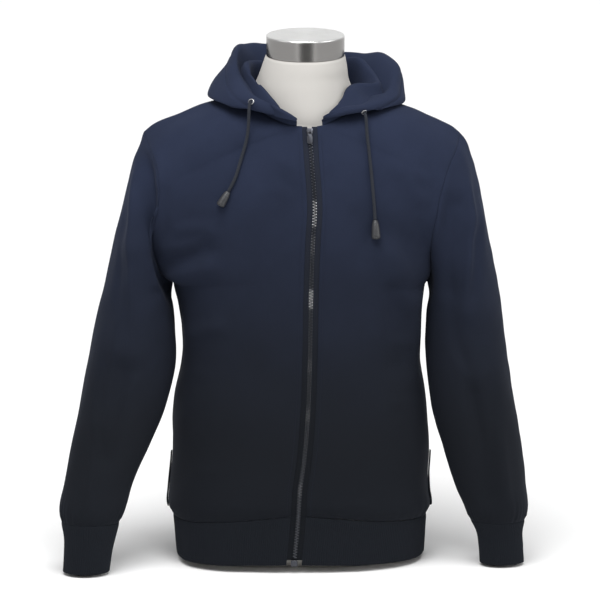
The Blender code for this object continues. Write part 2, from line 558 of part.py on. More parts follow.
def hood_grid(side, seam):
    """A hood half: a column at each point of the neckline seam, its rows from the seam to the open edge."""
    parts = HOOD[side]
    columns = []
    for start in seam:
        turn = math.degrees(math.atan2(abs(start[0] - NECK_X), NECK_Y - start[1]))
        radius = [math.hypot(start[0] - NECK_X, start[1] - NECK_Y)]
        height = [start[2]]
        for knot in ("stand", "pocket", "belly", "roll", "edge"):
            radius.append(float(through(turn, parts["turn"], parts[knot + "_r"])))
            height.append(float(through(turn, parts["turn"], parts[knot + "_z"])))
        knots = np.stack([radius, height], axis=1)
        share = lengths(knots, 0.5)
        profile = knots[:1]
        for start_share, end_share, rows in zip(share[:-1], share[1:], HOOD_ROWS):
            fine = through(np.linspace(start_share, end_share, 25), share, knots)
            profile = np.concatenate([profile, even(fine, rows + 1)[1:]])
        outward = np.array([start[0] - NECK_X, start[1] - NECK_Y]) / radius[0]
        plan = np.array([NECK_X, NECK_Y]) + outward * profile[:, :1]
        columns.append(np.concatenate([plan, profile[:, 1:]], axis=1))
    return np.array(columns).transpose(1, 0, 2)


def quads(index, flip):
    """The cells of a grid of point numbers, turned to face outwards."""
    corners = [index[:-1, :-1], index[:-1, 1:], index[1:, 1:], index[1:, :-1]]
    cells = np.stack(corners, axis=-1).reshape(-1, 4)
    return cells[:, ::-1] if flip else cells


def weld(grids):
    """One set of points for many grids, so that seams share them, and each grid's point numbers in it."""
    points = np.concatenate([grid.reshape(-1, 3) for grid in grids])
    _, first, index = np.unique(np.round(points, 6), axis=0, return_index=True, return_inverse=True)
    index, numbers, start = index.reshape(-1), [], 0
    for grid in grids:
        count = grid.shape[0] * grid.shape[1]
        numbers.append(index[start : start + count].reshape(grid.shape[:2]))
        start += count
    return points[first], numbers


def normals_of(points, cells):
    """The mean direction of the cells round each point."""
    facing = np.cross(points[cells[:, 2]] - points[cells[:, 0]], points[cells[:, 3]] - points[cells[:, 1]])
    facing /= np.maximum(np.linalg.norm(facing, axis=1), 1e-12)[:, None]
    total = np.zeros_like(points)
    for corner in range(4):
        np.add.at(total, cells[:, corner], facing)
    return total / np.maximum(np.linalg.norm(total, axis=1), 1e-12)[:, None]


def folded(points, normals):
    """The points with the folds of the table raised on them. The folds fade out towards the zip."""
    moves = np.zeros(len(points))
    view = points[:, [0, 2]]
    for face, x0, z0, x1, z1, width, height in zip(*FOLDS.values()):
        start, end = np.array([x0, z0]), np.array([x1, z1])
        share = (view - start) @ (end - start) / ((end - start) @ (end - start))
        nearest = start + np.clip(share, 0, 1)[:, None] * (end - start)
        distance = np.linalg.norm(view - nearest, axis=1)
        facing = smooth_step(face * normals[:, 1], 0.1, 0.6)
        moves += height * np.exp(-((distance / width) ** 2)) * facing
    from_zip = np.abs(points[:, 0] - zip_x(points[:, 2]))
    beside_zip = np.where(points[:, 1] < 0, smooth_step(from_zip, *FOLDS_FADE_IN), 1)
    return points + normals * (moves * beside_zip)[:, None]


def wall(points, cells, normals, thickness):
    """A closed wall: the outer cells, the inner ones a thickness behind, and a rim round each open edge. The
    rim is drawn back by half of the seam gap within the surface."""
    used, index = np.unique(cells, return_inverse=True)
    cells = index.reshape(cells.shape)
    outer, normal = points[used].copy(), normals[used]
    edges = np.concatenate([cells[:, [i, (i + 1) % 4]] for i in range(4)])
    edges = edges[edges[:, 0] != edges[:, 1]]
    keys = {tuple(edge) for edge in edges}
    rim = [edge for edge in keys if edge[::-1] not in keys]
    into = {}
    for a, b in rim:
        along = outer[b] - outer[a]
        for point in (a, b):
            inward = np.cross(normal[point], along)
            into.setdefault(point, []).append(inward / np.linalg.norm(inward))
    moves = {}
    for point, ways in into.items():
        turn = sum(ways)
        moves[point] = SEAM_GAP / 2 * turn * len(ways) / max(float(turn @ turn), 1.0)
    for point, move in moves.items():
        outer[point] += move
    inner = outer - normal * thickness
    count = len(outer)
    faces = [list(dict.fromkeys(map(int, cell))) for cell in cells]
    faces += [[corner + count for corner in reversed(cell)] for cell in faces]
    for a, b in rim:
        # Both walls at a seam split their rims along the same diagonal, so that twisted rims stay apart
        if a < b:
            faces += [[b, a, b + count], [a, a + count, b + count]]
        else:
            faces += [[b, a, a + count], [b, a + count, b + count]]
    return np.concatenate([outer, inner]), faces


def between(grid, row, column):
    """The point of a grid at a row and column that may lie between its own."""
    i, j = min(int(row), grid.shape[0] - 2), min(int(column), grid.shape[1] - 2)
    u, v = row - i, column - j
    near = grid[i, j] * (1 - v) + grid[i, j + 1] * v
    far = grid[i + 1, j] * (1 - v) + grid[i + 1, j + 1] * v
    return near * (1 - u) + far * u


def zip_line():
    """The zip's middle on the cloth's face, at the rows of the fronts and of the hem band."""
    body_heights = HEM_SEAM_FRONT + (UNDERARM_LEVEL_MIDDLE - HEM_SEAM_FRONT) * np.array(HEM_STEPS)
    neck_heights = np.linspace(UNDERARM_LEVEL_MIDDLE, NECK_POINT_HEIGHT, ROWS_TO_NECK + 1)[1:]
    depth = body("front", HEM_SEAM_FRONT)
    drop = np.array(BAND_STEPS[:0:-1])
    band_heights = HEM_SEAM_FRONT + (HEM_EDGE_MIDDLE - HEM_SEAM_FRONT) * drop
    band = np.stack([zip_x(band_heights), -depth - (BAND_FRONT - depth) * drop, band_heights], axis=1)
    heights = np.concatenate([body_heights, neck_heights])
    return np.concatenate([band, np.stack([zip_x(heights), -body("front", heights), heights], axis=1)])


def strip(line, foot, top, section):
    """A solid along the zip's line between two heights. The section's corners are distances to the wearer's
    left and outwards from the line."""
    inside = line[(line[:, 2] > foot + 0.001) & (line[:, 2] < top - 0.001), 2]
    heights = np.concatenate([[foot], inside, [top]])
    middle = np.stack([np.interp(heights, line[:, 2], axis) for axis in line.T], axis=1)
    slope = np.gradient(middle, axis=0)
    out = np.stack([np.zeros(len(slope)), -slope[:, 2], slope[:, 1]], axis=1)
    out /= np.linalg.norm(out, axis=1)[:, None]
    corners = np.array(section)
    to_left = corners[None, :, :1] * np.array([1.0, 0, 0])
    return loft(middle[:, None] + to_left + corners[None, :, 1:] * out[:, None])


def loft(rings):
    """A closed solid through rings with the same number of points, its first and last ring filled."""
    count, around = rings.shape[:2]
    index = np.arange(count * around).reshape(count, around)
    turned = np.roll(index, -1, axis=1)
    faces = np.stack([index[:-1], turned[:-1], turned[1:], index[1:]], axis=-1).reshape(-1, 4).tolist()
    faces += [index[0, ::-1].tolist(), index[-1].tolist()]
    return rings.reshape(-1, 3), faces


def local(origin, up, corners):
    """Points from distances to the wearer's left, outwards and along up, where up has no sideways part."""
    out = np.array([0.0, -up[2], up[1]])
    corners = np.asarray(corners, float)
    to_left = corners[..., :1] * np.array([1.0, 0, 0])
    return origin + to_left + corners[..., 1:2] * out + corners[..., 2:] * up


def on_zip(line, height):
    """The zip's middle at a height, and the way up along it."""
    point = np.array([np.interp(height, line[:, 2], axis) for axis in line.T])
    above = np.array([np.interp(height + 0.004, line[:, 2], axis) for axis in line.T])
    below = np.array([np.interp(height - 0.004, line[:, 2], axis) for axis in line.T])
    up = (above - below) * np.array([0, 1, 1])
    return point, up / np.linalg.norm(up)


def slider_rings(origin, up):
    """The slider's plates and the post between them, as six-cornered outlines from the back to the face."""
    plate = list(zip(*SLIDER_PLATE.values()))
    levels = zip(*SLIDER_LEVELS.values())
    rings = [[(x * size, out, t * (size + 1) / 2) for x, t in plate] for out, size in levels]
    return local(origin, up, rings)


def bail_rings(origin, up):
    """The arch over the slider's face that holds the pull tab, a flat wire on five straight lengths."""
    foot, shoulder, top = SLIDER_FACE - BAIL_SUNK, BAIL_TOP - BAIL_SHOULDER, BAIL_TOP - BAIL_WIRE / 2
    one_side = [(BAIL_HALF, foot), (BAIL_HALF, shoulder), (BAIL_SHOULDER, top)]
    path = np.array([(-t, out) for t, out in one_side] + one_side[::-1])
    ways = np.gradient(path, axis=0)
    ways[0], ways[-1] = (0, 1), (0, -1)
    sides = np.stack([-ways[:, 1], ways[:, 0]], axis=1) / np.linalg.norm(ways, axis=1)[:, None]
    rings = []
    for (t, out), (side_t, side_out) in zip(path, sides * BAIL_WIRE / 2):
        outer, inner = (out + side_out, t + side_t), (out - side_out, t - side_t)
        half = BAIL_WIDTH / 2
        rings.append([(-half, *outer), (half, *outer), (half, *inner), (-half, *inner)])
    return local(origin, up, rings)


def pull_outline():
    """The pull tab's outline from above, in distances to the wearer's left and along the tab."""
    half, waist, end, corner = PULL_HALF, PULL_WAIST_HALF, -PULL_LENGTH, PULL_CORNER
    one_side = [
        (waist - BAIL_WIRE / 2, PULL_BAR), (waist, PULL_BAR - BAIL_WIRE), (waist, -PULL_WAIST_END),
        (half, -PULL_WIDE_FROM), (half, end + corner), (half - corner, end),
    ]
    return [(-x, t) for x, t in one_side] + one_side[::-1]


def dress_form(fronts, backs):
    """The form's points and faces: the garment's own rows drawn in, plates over the armholes, the neck and a
    foot. Below the underarm it keeps only some of the garment's rows."""
    skip = list(FORM_LOW_ROWS) + list(range(len(HEM_STEPS) - 1, len(fronts[RIGHT])))
    first = len(FORM_LOW_ROWS)
    neck, nape = first + ROWS_TO_NECK, first + ROWS_TO_NAPE
    grids = [fronts[RIGHT][skip], fronts[LEFT][skip], backs[RIGHT][skip], backs[LEFT][skip]]
    points, (front_r, front_l, back_r, back_l) = weld(grids)
    fronts_cells = [quads(front_r, True), quads(front_l, False)]
    cells = np.concatenate([*fronts_cells, quads(back_r, False), quads(back_l, True)])
    normals = normals_of(points, cells)
    room = FLEECE + FORM_SEAT_GAP + through(points[:, 2], FORM_ROOM["height"], FORM_ROOM["room"])
    from_zip = points[:, 0] - zip_x(points[:, 2])
    near_zip = np.exp(-((from_zip / HOLLOW_BEHIND_ZIP_HALF) ** 2)) * (points[:, 1] < 0)
    points = points - normals * (room + FORM_BEHIND_ZIP * near_zip)[:, None]
    faces = cells.tolist()
    parts = [points]
    total = len(points)

    def add(rows):
        nonlocal total
        parts.append(rows)
        numbers = np.arange(total, total + len(rows))
        total += len(rows)
        return numbers

    def join(ring_a, ring_b):
        for i in range(len(ring_a)):
            k = (i + 1) % len(ring_a)
            faces.append([int(ring_a[i]), int(ring_a[k]), int(ring_b[k]), int(ring_b[i])])

    def fan(ring_a, point):
        middle = int(add(point[None])[0])
        for i in range(len(ring_a)):
            faces.append([int(ring_a[i]), int(ring_a[(i + 1) % len(ring_a)]), middle])

    for row in range(neck):
        cell = [front_r[row, 0], front_r[row + 1, 0], front_l[row + 1, 0], front_l[row, 0]]
        faces.append([int(corner) for corner in cell])
    for side, front, back in ((RIGHT, front_r, back_r), (LEFT, front_l, back_l)):
        ring_a = np.concatenate([front[first:, -1], back[first:, -1][::-1][1:-1]])
        loop = points[ring_a]
        middle = loop.mean(axis=0)
        for size in ARMHOLE_PLATE_RINGS:
            bulge = np.array([side * ARMHOLE_PLATE_BULGE * (1 - size**2), 0, 0])
            ring_b = add(middle + (loop - middle) * size + bulge)
            join(ring_a, ring_b)
            ring_a = ring_b
        fan(ring_a, middle + np.array([side * ARMHOLE_PLATE_BULGE, 0, 0]))
    right_half = [front_r[neck:, 0], back_r[nape:, 0][::-1][1:]]
    left_half = [back_l[nape + 1 :, 0], front_l[neck:, 0][::-1][1:]]
    ring_a = np.concatenate(right_half + left_half)
    way = points[ring_a, :2] - np.array([NECK_X, NECK_Y])
    radius = np.linalg.norm(way, axis=1) - FORM_NECK_GAP
    way /= np.linalg.norm(way, axis=1)[:, None]
    points[ring_a, :2] = np.array([NECK_X, NECK_Y]) + way * radius[:, None]
    start = points[ring_a]
    for share in NECK_STEPS:
        top = NECK_TOP + way[:, 1] * FORM_NECK["radius"][-1] * math.tan(NECK_TILT)
        height = start[:, 2] + (top - start[:, 2]) * share
        table_radius = through(height, FORM_NECK["height"], FORM_NECK["radius"])
        own = (radius - through(start[:, 2], FORM_NECK["height"], FORM_NECK["radius"])) * (1 - share) ** 4
        plan = np.array([NECK_X, NECK_Y]) + way * (table_radius + own)[:, None]
        plan[:, 0] += through(height, FORM_NECK["height"], FORM_NECK["lean"])
        ring_b = add(np.concatenate([plan, height[:, None]], axis=1))
        join(ring_a, ring_b)
        ring_a = ring_b
    fan(ring_a, np.array([NECK_X, NECK_Y, NECK_TOP]))
    ring_a = np.concatenate([front_r[0, ::-1], front_l[0], back_l[0, ::-1][1:], back_r[0, 1:-1]])
    start = points[ring_a]
    for height, half_width, front, back in zip(*FORM_FOOT.values()):
        wide = half_width / np.abs(start[:, 0]).max()
        deep = np.where(start[:, 1] < 0, front / -start[:, 1].min(), back / start[:, 1].max())
        level = np.full(len(start), height)
        ring_b = add(np.stack([start[:, 0] * wide, start[:, 1] * deep, level], axis=1))
        join(ring_a, ring_b)
        ring_a = ring_b
    fan(ring_a, np.zeros(3))
    return np.concatenate(parts), faces


def material(name, colour, roughness, metallic=0.0):
    made = bpy.data.materials.new(name)
    made.use_nodes = True
    shader = made.node_tree.nodes["Principled BSDF"]
    shader.inputs["Base Color"].default_value = (*colour, 1)
    shader.inputs["Roughness"].default_value = roughness
    shader.inputs["Metallic"].default_value = metallic
    return made


def add_mesh(name, points, faces, finish, collection):
    """A named object from points and faces, shaded smooth, with its faces turned outwards."""
    mesh = bpy.data.meshes.new(name)
    mesh.from_pydata([tuple(map(float, point)) for point in points], [], [list(map(int, f)) for f in faces])
    shape = bmesh.new()
    shape.from_mesh(mesh)
    bmesh.ops.recalc_face_normals(shape, faces=shape.faces)
    shape.to_mesh(mesh)
    shape.free()
    mesh.materials.append(finish)
    mesh.shade_smooth()
    mesh.set_sharp_from_angle(angle=math.radians(50))
    made = bpy.data.objects.new(name, mesh)
    collection.objects.link(made)
    return made


def clear_scene():
    for old in list(bpy.data.objects):
        bpy.data.objects.remove(old, do_unlink=True)


def add_collection(name):
    made = bpy.data.collections.new(name)
    bpy.context.scene.collection.children.link(made)
    return made


def cloth_grids():
    """Every cloth piece's outer grids, each with whether its cells are to be flipped."""
    pieces = {}
    fronts = {side: front_grid(side) for side in (RIGHT, LEFT)}
    backs = {side: back_grid(side) for side in (RIGHT, LEFT)}
    first = len(HEM_STEPS) - 1
    for side, name in ((RIGHT, "right"), (LEFT, "left")):
        pieces["front_" + name] = [(fronts[side], side == RIGHT)]
        front_loop, back_loop = fronts[side][first:, -1], backs[side][first:, -1]
        loop = np.concatenate([front_loop, back_loop[::-1][1:]])
        turns = np.concatenate([180 * lengths(front_loop), 360 - 180 * lengths(back_loop)[::-1][1:]])
        rings = sleeve_rings(side, loop, turns)
        pieces["sleeve_" + name] = [(rings, side == LEFT)]
        pieces["cuff_" + name] = [(cuff_rings(side, rings[-1], turns), side == LEFT)]
        neck = first + ROWS_TO_NECK
        nape = first + ROWS_TO_NAPE
        seam = np.concatenate([fronts[side][neck + 1 :, 0], backs[side][nape:, 0][::-1][1:]])
        pieces["hood_" + name] = [(hood_grid(side, seam), side == RIGHT)]
    pieces["back"] = [(backs[RIGHT], False), (backs[LEFT], True)]
    pieces["hem_band"] = [
        (band_grid(fronts[side][0], side, True), side == LEFT) for side in (RIGHT, LEFT)
    ] + [(band_grid(backs[side][0], side, False), side == RIGHT) for side in (RIGHT, LEFT)]
    return pieces, fronts, backs


def add_cloth(pieces, finishes, collection):
    """Adds the cloth pieces, and returns each one's first outer grid with the folds on it, and its normals."""
    flat = [(name, grid, flip) for name, grids in pieces.items() for grid, flip in grids]
    points, numbers = weld([grid for _, grid, _ in flat])
    cells = [quads(index, flip) for index, (_, _, flip) in zip(numbers, flat)]
    points = folded(points, normals_of(points, np.concatenate(cells)))
    normals = normals_of(points, np.concatenate(cells))
    made = {}
    for name in pieces:
        own = [i for i, (owner, _, _) in enumerate(flat) if owner == name]
        thick, finish = (RIB, "rib") if name.startswith(("cuff", "hem")) else (FLEECE, "fleece")
        shape = wall(points, np.concatenate([cells[i] for i in own]), normals, thick)
        add_mesh(name, *shape, finishes[finish], collection)
        made[name] = points[numbers[own[0]]], normals[numbers[own[0]]]
    return made


def add_welt(name, side, grid, normals, finishes, collection):
    """A pocket welt: a strip of the front's own surface moved out, two cells wide."""
    columns = np.linspace(*WELT_COLUMNS[side], 3)
    surface = np.array([[between(grid, row, column) for column in columns] for row in WELT_ROWS])
    facing = np.array([[between(normals, row, column) for column in columns] for row in WELT_ROWS])
    facing /= np.linalg.norm(facing, axis=2)[..., None]
    outer = surface + facing * (WELT_GAP + WELT_THICK)
    points, (index,) = weld([outer])
    ways = np.zeros_like(points)
    ways[index] = facing
    shape = wall(points, quads(index, side == RIGHT), ways, WELT_THICK)
    add_mesh(name, *shape, finishes["fleece"], collection)


def add_zip(finishes, collection, helpers):
    line = zip_line()
    for side, name in ((RIGHT, "right"), (LEFT, "left")):
        face, back = -TAPE_RECESS, -TAPE_RECESS - TAPE_THICK
        a, b = side * TAPE_INNER, side * TAPE_OUTER
        section = [(a, face), (b, face), (b, back), (a, back)]
        shape = strip(line, CHAIN_FOOT, NECK_POINT_HEIGHT - 0.0005, section)
        add_mesh("zip_tape_" + name, *shape, finishes["tape"], collection)
    half, face, back, cut = CHAIN_HALF, CHAIN_PROUD, -CHAIN_SUNK, CHAIN_BEVEL
    section = [(-half, back), (half, back), (half, face - cut)]
    section += [(half - cut, face), (cut - half, face), (-half, face - cut)]
    add_mesh("zip_teeth", *strip(line, CHAIN_FOOT, CHAIN_TOP, section), finishes["teeth"], collection)

    origin, up = on_zip(line, SLIDER_HEIGHT)
    slider = add_mesh("zip_slider", *loft(slider_rings(origin, up)), finishes["slider"], collection)
    bail = add_mesh("bail_shape", *loft(bail_rings(origin, up)), finishes["slider"], helpers)
    bail.hide_render = True
    bail.display_type = "WIRE"
    joined = slider.modifiers.new("bail", "BOOLEAN")
    joined.operation = "UNION"
    joined.solver = "EXACT"
    joined.object = bail

    axis = local(origin, up, [0, PULL_AXIS, 0])
    still = np.zeros(3)
    rings = [[(x, out, t) for x, t in pull_outline()] for out in (-PULL_THICK / 2, PULL_THICK / 2)]
    pull = add_mesh("zip_pull", *loft(local(still, up, rings)), finishes["slider"], collection)
    slot_half, slot_end, deep = PULL_SLOT_HALF, -PULL_SLOT_END, PULL_THICK
    slot = [(-slot_half, -PULL_BAR), (-slot_half, slot_end), (slot_half, slot_end), (slot_half, -PULL_BAR)]
    rings = [[(x, out, t) for x, t in slot] for out in (-deep, deep)]
    cutter = add_mesh("slot_shape", *loft(local(still, up, rings)), finishes["slider"], helpers)
    cutter.hide_render = True
    cutter.display_type = "WIRE"
    pull.location = cutter.location = axis
    cut_slot = pull.modifiers.new("slot", "BOOLEAN")
    cut_slot.operation = "DIFFERENCE"
    cut_slot.solver = "EXACT"
    cut_slot.object = cutter

    point, up = on_zip(line, BOX_HEIGHT)
    bpy.ops.mesh.primitive_cube_add(size=1)
    box = bpy.context.object
    box.name = "zip_box"
    box.data.name = "zip_box"
    box.data.materials.append(finishes["slider"])
    box.location = point
    box.rotation_euler = (math.atan2(-up[1], up[2]), 0, 0)
    box.scale = BOX_SIZE
    bpy.ops.object.transform_apply(location=False, rotation=False, scale=True)
    bevel = box.modifiers.new("edges", "BEVEL")
    bevel.width = BOX_BEVEL
    bevel.segments = 1
    move_to(box, collection)


def add_tube(name, points, radii, segments, finish, collection):
    """A round solid along points, with a radius at each, as a curve with a bevel and filled ends."""
    curve = bpy.data.curves.new(name, "CURVE")
    curve.dimensions = "3D"
    curve.bevel_depth = max(radii)
    curve.bevel_resolution = segments
    curve.use_fill_caps = True
    spline = curve.splines.new("POLY")
    spline.points.add(len(points) - 1)
    for made, point, radius in zip(spline.points, points, radii):
        made.co = (*map(float, point), 1)
        made.radius = radius / max(radii)
    spline.use_smooth = True
    curve.materials.append(finish)
    tube = bpy.data.objects.new(name, curve)
    collection.objects.link(tube)


def add_drawcord(side, name, finishes, collection):
    place, facing = (np.array(value) for value in EYELETS[side])
    facing /= np.linalg.norm(facing)
    bpy.ops.mesh.primitive_torus_add(
        major_segments=20, minor_segments=6, major_radius=EYELET_RADIUS, minor_radius=EYELET_WIRE
    )
    ring_piece = bpy.context.object
    ring_piece.name = "eyelet_" + name
    ring_piece.data.name = "eyelet_" + name
    ring_piece.data.materials.append(finishes["eyelet"])
    ring_piece.data.shade_smooth()
    ring_piece.location = place + facing * EYELET_LIFT
    ring_piece.rotation_mode = "QUATERNION"
    ring_piece.rotation_quaternion = Vector(facing).to_track_quat("Z", "Y")
    move_to(ring_piece, collection)
    route = np.array(CORDS[side])
    fine = through(np.linspace(0, 1, 200), lengths(route), route)
    points = even(fine, CORD_POINTS)
    add_tube("drawcord_" + name, points, [CORD_RADIUS] * CORD_POINTS, 2, finishes["cord"], collection)
    tip = TIPS[side]
    points = np.stack([tip["x"], tip["y"], tip["z"]], axis=1)
    add_tube("cord_tip_" + name, points, list(tip["radius"]), 2, finishes["tip"], collection)


def add_form(fronts, backs, finishes, collection):
    add_mesh("dress_form", *dress_form(fronts, backs), finishes["form"], collection)
    up = np.array([0.0, -math.sin(NECK_TILT), math.cos(NECK_TILT)])
    middle = np.array([NECK_X, NECK_Y, NECK_TOP]) + up * (PIECE_GAP + CAP_HEIGHT / 2)
    bpy.ops.mesh.primitive_cylinder_add(vertices=48, radius=CAP_RADIUS, depth=CAP_HEIGHT)
    cap = bpy.context.object
    cap.name = "neck_cap"
    cap.data.name = "neck_cap"
    cap.data.materials.append(finishes["steel"])
    cap.location = middle
    cap.rotation_euler = (NECK_TILT, 0, 0)
    bevel = cap.modifiers.new("rims", "BEVEL")
    bevel.width = CAP_BEVEL
    bevel.segments = 2
    cap.data.shade_smooth()
    cap.data.set_sharp_from_angle(angle=math.radians(50))
    move_to(cap, collection)


def move_to(made, collection):
    for old in list(made.users_collection):
        old.objects.unlink(made)
    collection.objects.link(made)


def main():
    clear_scene()
    collection = add_collection("Zip_up_hoodie")
    helpers = add_collection("Helper_shapes")
    finishes = {
        "fleece": material("navy_fleece", (0.012, 0.017, 0.045), 0.9),
        "rib": material("navy_rib", (0.010, 0.014, 0.036), 0.9),
        "tape": material("charcoal_zip_tape", (0.012, 0.013, 0.018), 0.8),
        "teeth": material("dark_metal_teeth", (0.10, 0.10, 0.11), 0.35, 1.0),
        "slider": material("gunmetal", (0.16, 0.16, 0.17), 0.3, 1.0),
        "eyelet": material("bright_metal_eyelet", (0.45, 0.45, 0.46), 0.25, 1.0),
        "cord": material("charcoal_cord", (0.014, 0.015, 0.020), 0.85),
        "tip": material("dark_grey_cord_tip", (0.020, 0.020, 0.022), 0.5),
        "form": material("off_white_form_cover", (0.68, 0.66, 0.62), 0.8),
        "steel": material("brushed_steel", (0.55, 0.54, 0.52), 0.3, 1.0),
    }
    pieces, fronts, backs = cloth_grids()
    made = add_cloth(pieces, finishes, collection)
    for side, name in ((RIGHT, "right"), (LEFT, "left")):
        add_welt("pocket_welt_" + name, side, *made["front_" + name], finishes, collection)
        add_drawcord(side, name, finishes, collection)
    add_zip(finishes, collection, helpers)
    add_form(fronts, backs, finishes, collection)


main()
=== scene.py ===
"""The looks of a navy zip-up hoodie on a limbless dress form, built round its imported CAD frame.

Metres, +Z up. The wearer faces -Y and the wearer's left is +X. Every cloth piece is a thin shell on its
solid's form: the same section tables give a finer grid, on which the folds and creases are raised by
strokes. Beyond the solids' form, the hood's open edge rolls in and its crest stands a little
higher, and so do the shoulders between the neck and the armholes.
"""

import math

import bmesh
import bpy
import numpy as np
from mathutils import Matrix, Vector


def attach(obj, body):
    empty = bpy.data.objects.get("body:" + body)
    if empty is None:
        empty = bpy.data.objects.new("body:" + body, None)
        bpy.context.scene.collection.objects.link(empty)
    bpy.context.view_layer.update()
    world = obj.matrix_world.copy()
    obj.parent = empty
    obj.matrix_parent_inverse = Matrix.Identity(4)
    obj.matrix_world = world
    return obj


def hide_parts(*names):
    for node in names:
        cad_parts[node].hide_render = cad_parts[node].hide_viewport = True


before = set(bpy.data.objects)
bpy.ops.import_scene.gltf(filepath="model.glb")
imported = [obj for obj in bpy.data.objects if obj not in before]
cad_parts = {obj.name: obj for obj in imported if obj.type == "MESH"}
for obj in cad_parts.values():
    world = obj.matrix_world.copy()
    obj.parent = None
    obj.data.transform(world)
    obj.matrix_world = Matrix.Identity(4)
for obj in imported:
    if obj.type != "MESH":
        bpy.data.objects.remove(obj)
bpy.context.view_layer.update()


def table(names, rows):
    """The named columns of a table, each as an array."""
    return dict(zip(names.split(), np.array(rows, float).T))


RIGHT, LEFT = -1, 1
SIDEWAYS = np.array([1.0, 0.0, 0.0])
SIDES = ((RIGHT, "right"), (LEFT, "left"))

# The camera's place and view
CAMERA_ELEVATION = math.radians(9.0)
CAMERA_DISTANCE, AIM_HEIGHT, CAMERA_REACH = 6.0, 0.39, 200.0
LENS_PIXELS, PHOTO_PIXELS, SENSOR = 4000.0, 600.0, 36.0

# Sizes that the CAD source names
FLEECE, RIB = 0.0022, 0.0026
HEM_SEAM_FRONT, HEM_SEAM_BACK, HEM_SEAM_SIDE = 0.087, 0.084, 0.068
HEM_EDGE_MIDDLE, HEM_EDGE_SIDE = 0.0125, 0.008
UNDERARM_LEVEL_MIDDLE = 0.44
NECK_POINT_HEIGHT = 0.6635
NAPE_HEIGHT = 0.693
SIDE_SEAM_Y = 0.004
BAND_FRONT, BAND_BACK, BAND_HALF = 0.1325, 0.126, 0.187
ZIP_HALF = 0.011
TAPE_INNER, TAPE_RECESS, TAPE_THICK = 0.0033, 0.0004, 0.0011
CHAIN_FOOT, CHAIN_TOP = 0.0207, 0.6485
NECK_X, NECK_Y = 0.008, -0.008
NECK_TOP, NECK_TILT = 0.7588, math.radians(5.5)
CAP_RADIUS, CAP_HEIGHT = 0.058, 0.031
PIECE_GAP = 0.0003
FORM_SEAT_GAP, FORM_NECK_GAP = 0.0013, 0.0045
FORM_BEHIND_ZIP, HOLLOW_BEHIND_ZIP_HALF = 0.0045, 0.03
ARMHOLE_PLATE_BULGE = 0.014
CHEST_LIFT, ARMHOLE_FADE = 0.01, 0.3

# Cells in each direction: the cloth's, and the form's, most of which the cloth hides
CLOTH_CELLS = dict(across=50, low=80, neck=48, corner=3, on_neck=40, nape=54, on_nape=48)
FORM_CELLS = dict(across=14, low=24, neck=14, corner=1, on_neck=26, nape=16, on_nape=26)
ROW_SAMPLES = 400
SLEEVE_ROWS = 120
CUFF_ROWS, CUFF_RIBS = 24, 68
HEM_ROWS, HEM_RIBS = 18, 82
CELLS_A_RIB = 6
HOOD_ROWS = (18, 24, 24, 24, 20, 18)
HOOD_CREST_ROW = sum(HOOD_ROWS[:5])
HOOD_SAMPLES_A_ROW = 4

# Where the shapes leave the solids': the tapes reach further under the fronts, and the shoulders rise
TAPE_OUTER = 0.0113
SHOULDER_RISE, SHOULDER_TIP_RISE = 0.0075, 0.0055
# Shares of the way from the underarm to the shoulder: where the section's squareness at the armhole fades
# and the chest's lift comes in, where the lift goes and the section rounds, and where the shoulders rise
ARMHOLE_SQUARE_FADE, CHEST_LIFT_IN = (0.0, 0.35), (0.35, 0.8)
UPPER_FADE, SHOULDER_RISE_IN = (0.8, 1.0), (0.6, 1.0)
# Where other shapes fade into their neighbours': degrees from the zip's corner, a height, a share of the cuff
CORNER_FADE, NAPE_SHIFT_FROM, WRIST_FADE = 20.0, 0.4, 0.12

# Sizes of what only this script makes
EDGE_ROUND, SEAM_CRACK = 0.00035, 0.00001
RIM_TURNS = tuple(np.radians([36.0, 90.0, 144.0]))
SEAM_DIP, SEAM_HALF = 0.0009, 0.0035
RIB_RELIEF, RIB_MEAN = 0.00075, 0.7
WELT_GAP, WELT_THICK, WELT_SWELL, WELT_ROUND = 0.0004, 0.0016, 0.0006, 0.0006
WELT_CELLS, WELT_STITCH_COLUMNS = (56, 12), (2, 10)
WELT_ACROSS = {RIGHT: (0.9, 0.9556), LEFT: (0.9222, 0.9778)}
WELT_RISE = (0.035, 0.27)
TAPE_STEP, TAPE_COLUMNS, TAPE_END_GAP, TAPE_EDGE_DROP = 0.003, 13, 0.0005, 0.0003
# Raised lines on a tape's face: where across it, the half width as a share of its own, and the height
TAPE_BEADS = ((0.1, 0.07, 0.0003), (0.8, 0.05, 0.00012))
FIRST_TOOTH, TOOTH_PITCH = 0.004, 0.0021
# A tooth from above: distances to its own side of the middle and along the zip; its head passes the middle
TOOTH_OUTLINE = (
    (-0.0009, -0.00052), (0.0012, -0.0006), (0.003, -0.00074),
    (0.003, 0.00074), (0.0012, 0.0006), (-0.0009, 0.00052),
)
# Its levels outwards from the cloth's face, and the outline's size at each
TOOTH_LEVELS = ((-0.0015, 0.86), (-0.001, 1.0), (0.0004, 1.0), (0.0009, 0.8))
CORE_HALF, CORE_DEEP, CORE_SUNK, CORE_SIDES = 0.0034, 0.0006, 0.0009, 12
SLIDER_BEVEL, BOX_BEVEL, PULL_BEVEL = 0.00035, 0.0003, 0.00025
CORD_RINGS, CORD_SIDES, STRANDS, STRAND_PITCH, STRAND_RELIEF = 150, 16, 4, 0.009, 0.00016
TIP_RINGS, TIP_SIDES, TIP_START = 24, 32, 0.93
TIP_RIDGES, TIP_RIDGE_HEIGHT, TIP_RIDGE_HALF = (0.16, 0.3, 0.94), 0.00025, 0.035
# The hollow in a tip's mouth: shares of its length, back into it, and of the mouth's radius
TIP_MOUTH = ((0.0, 0.78), (-0.1, 0.66), (-0.16, 0.4))
STITCH_PITCH, STITCH_HALF, STITCH_LIFT = 0.003, 0.00022, 0.00032
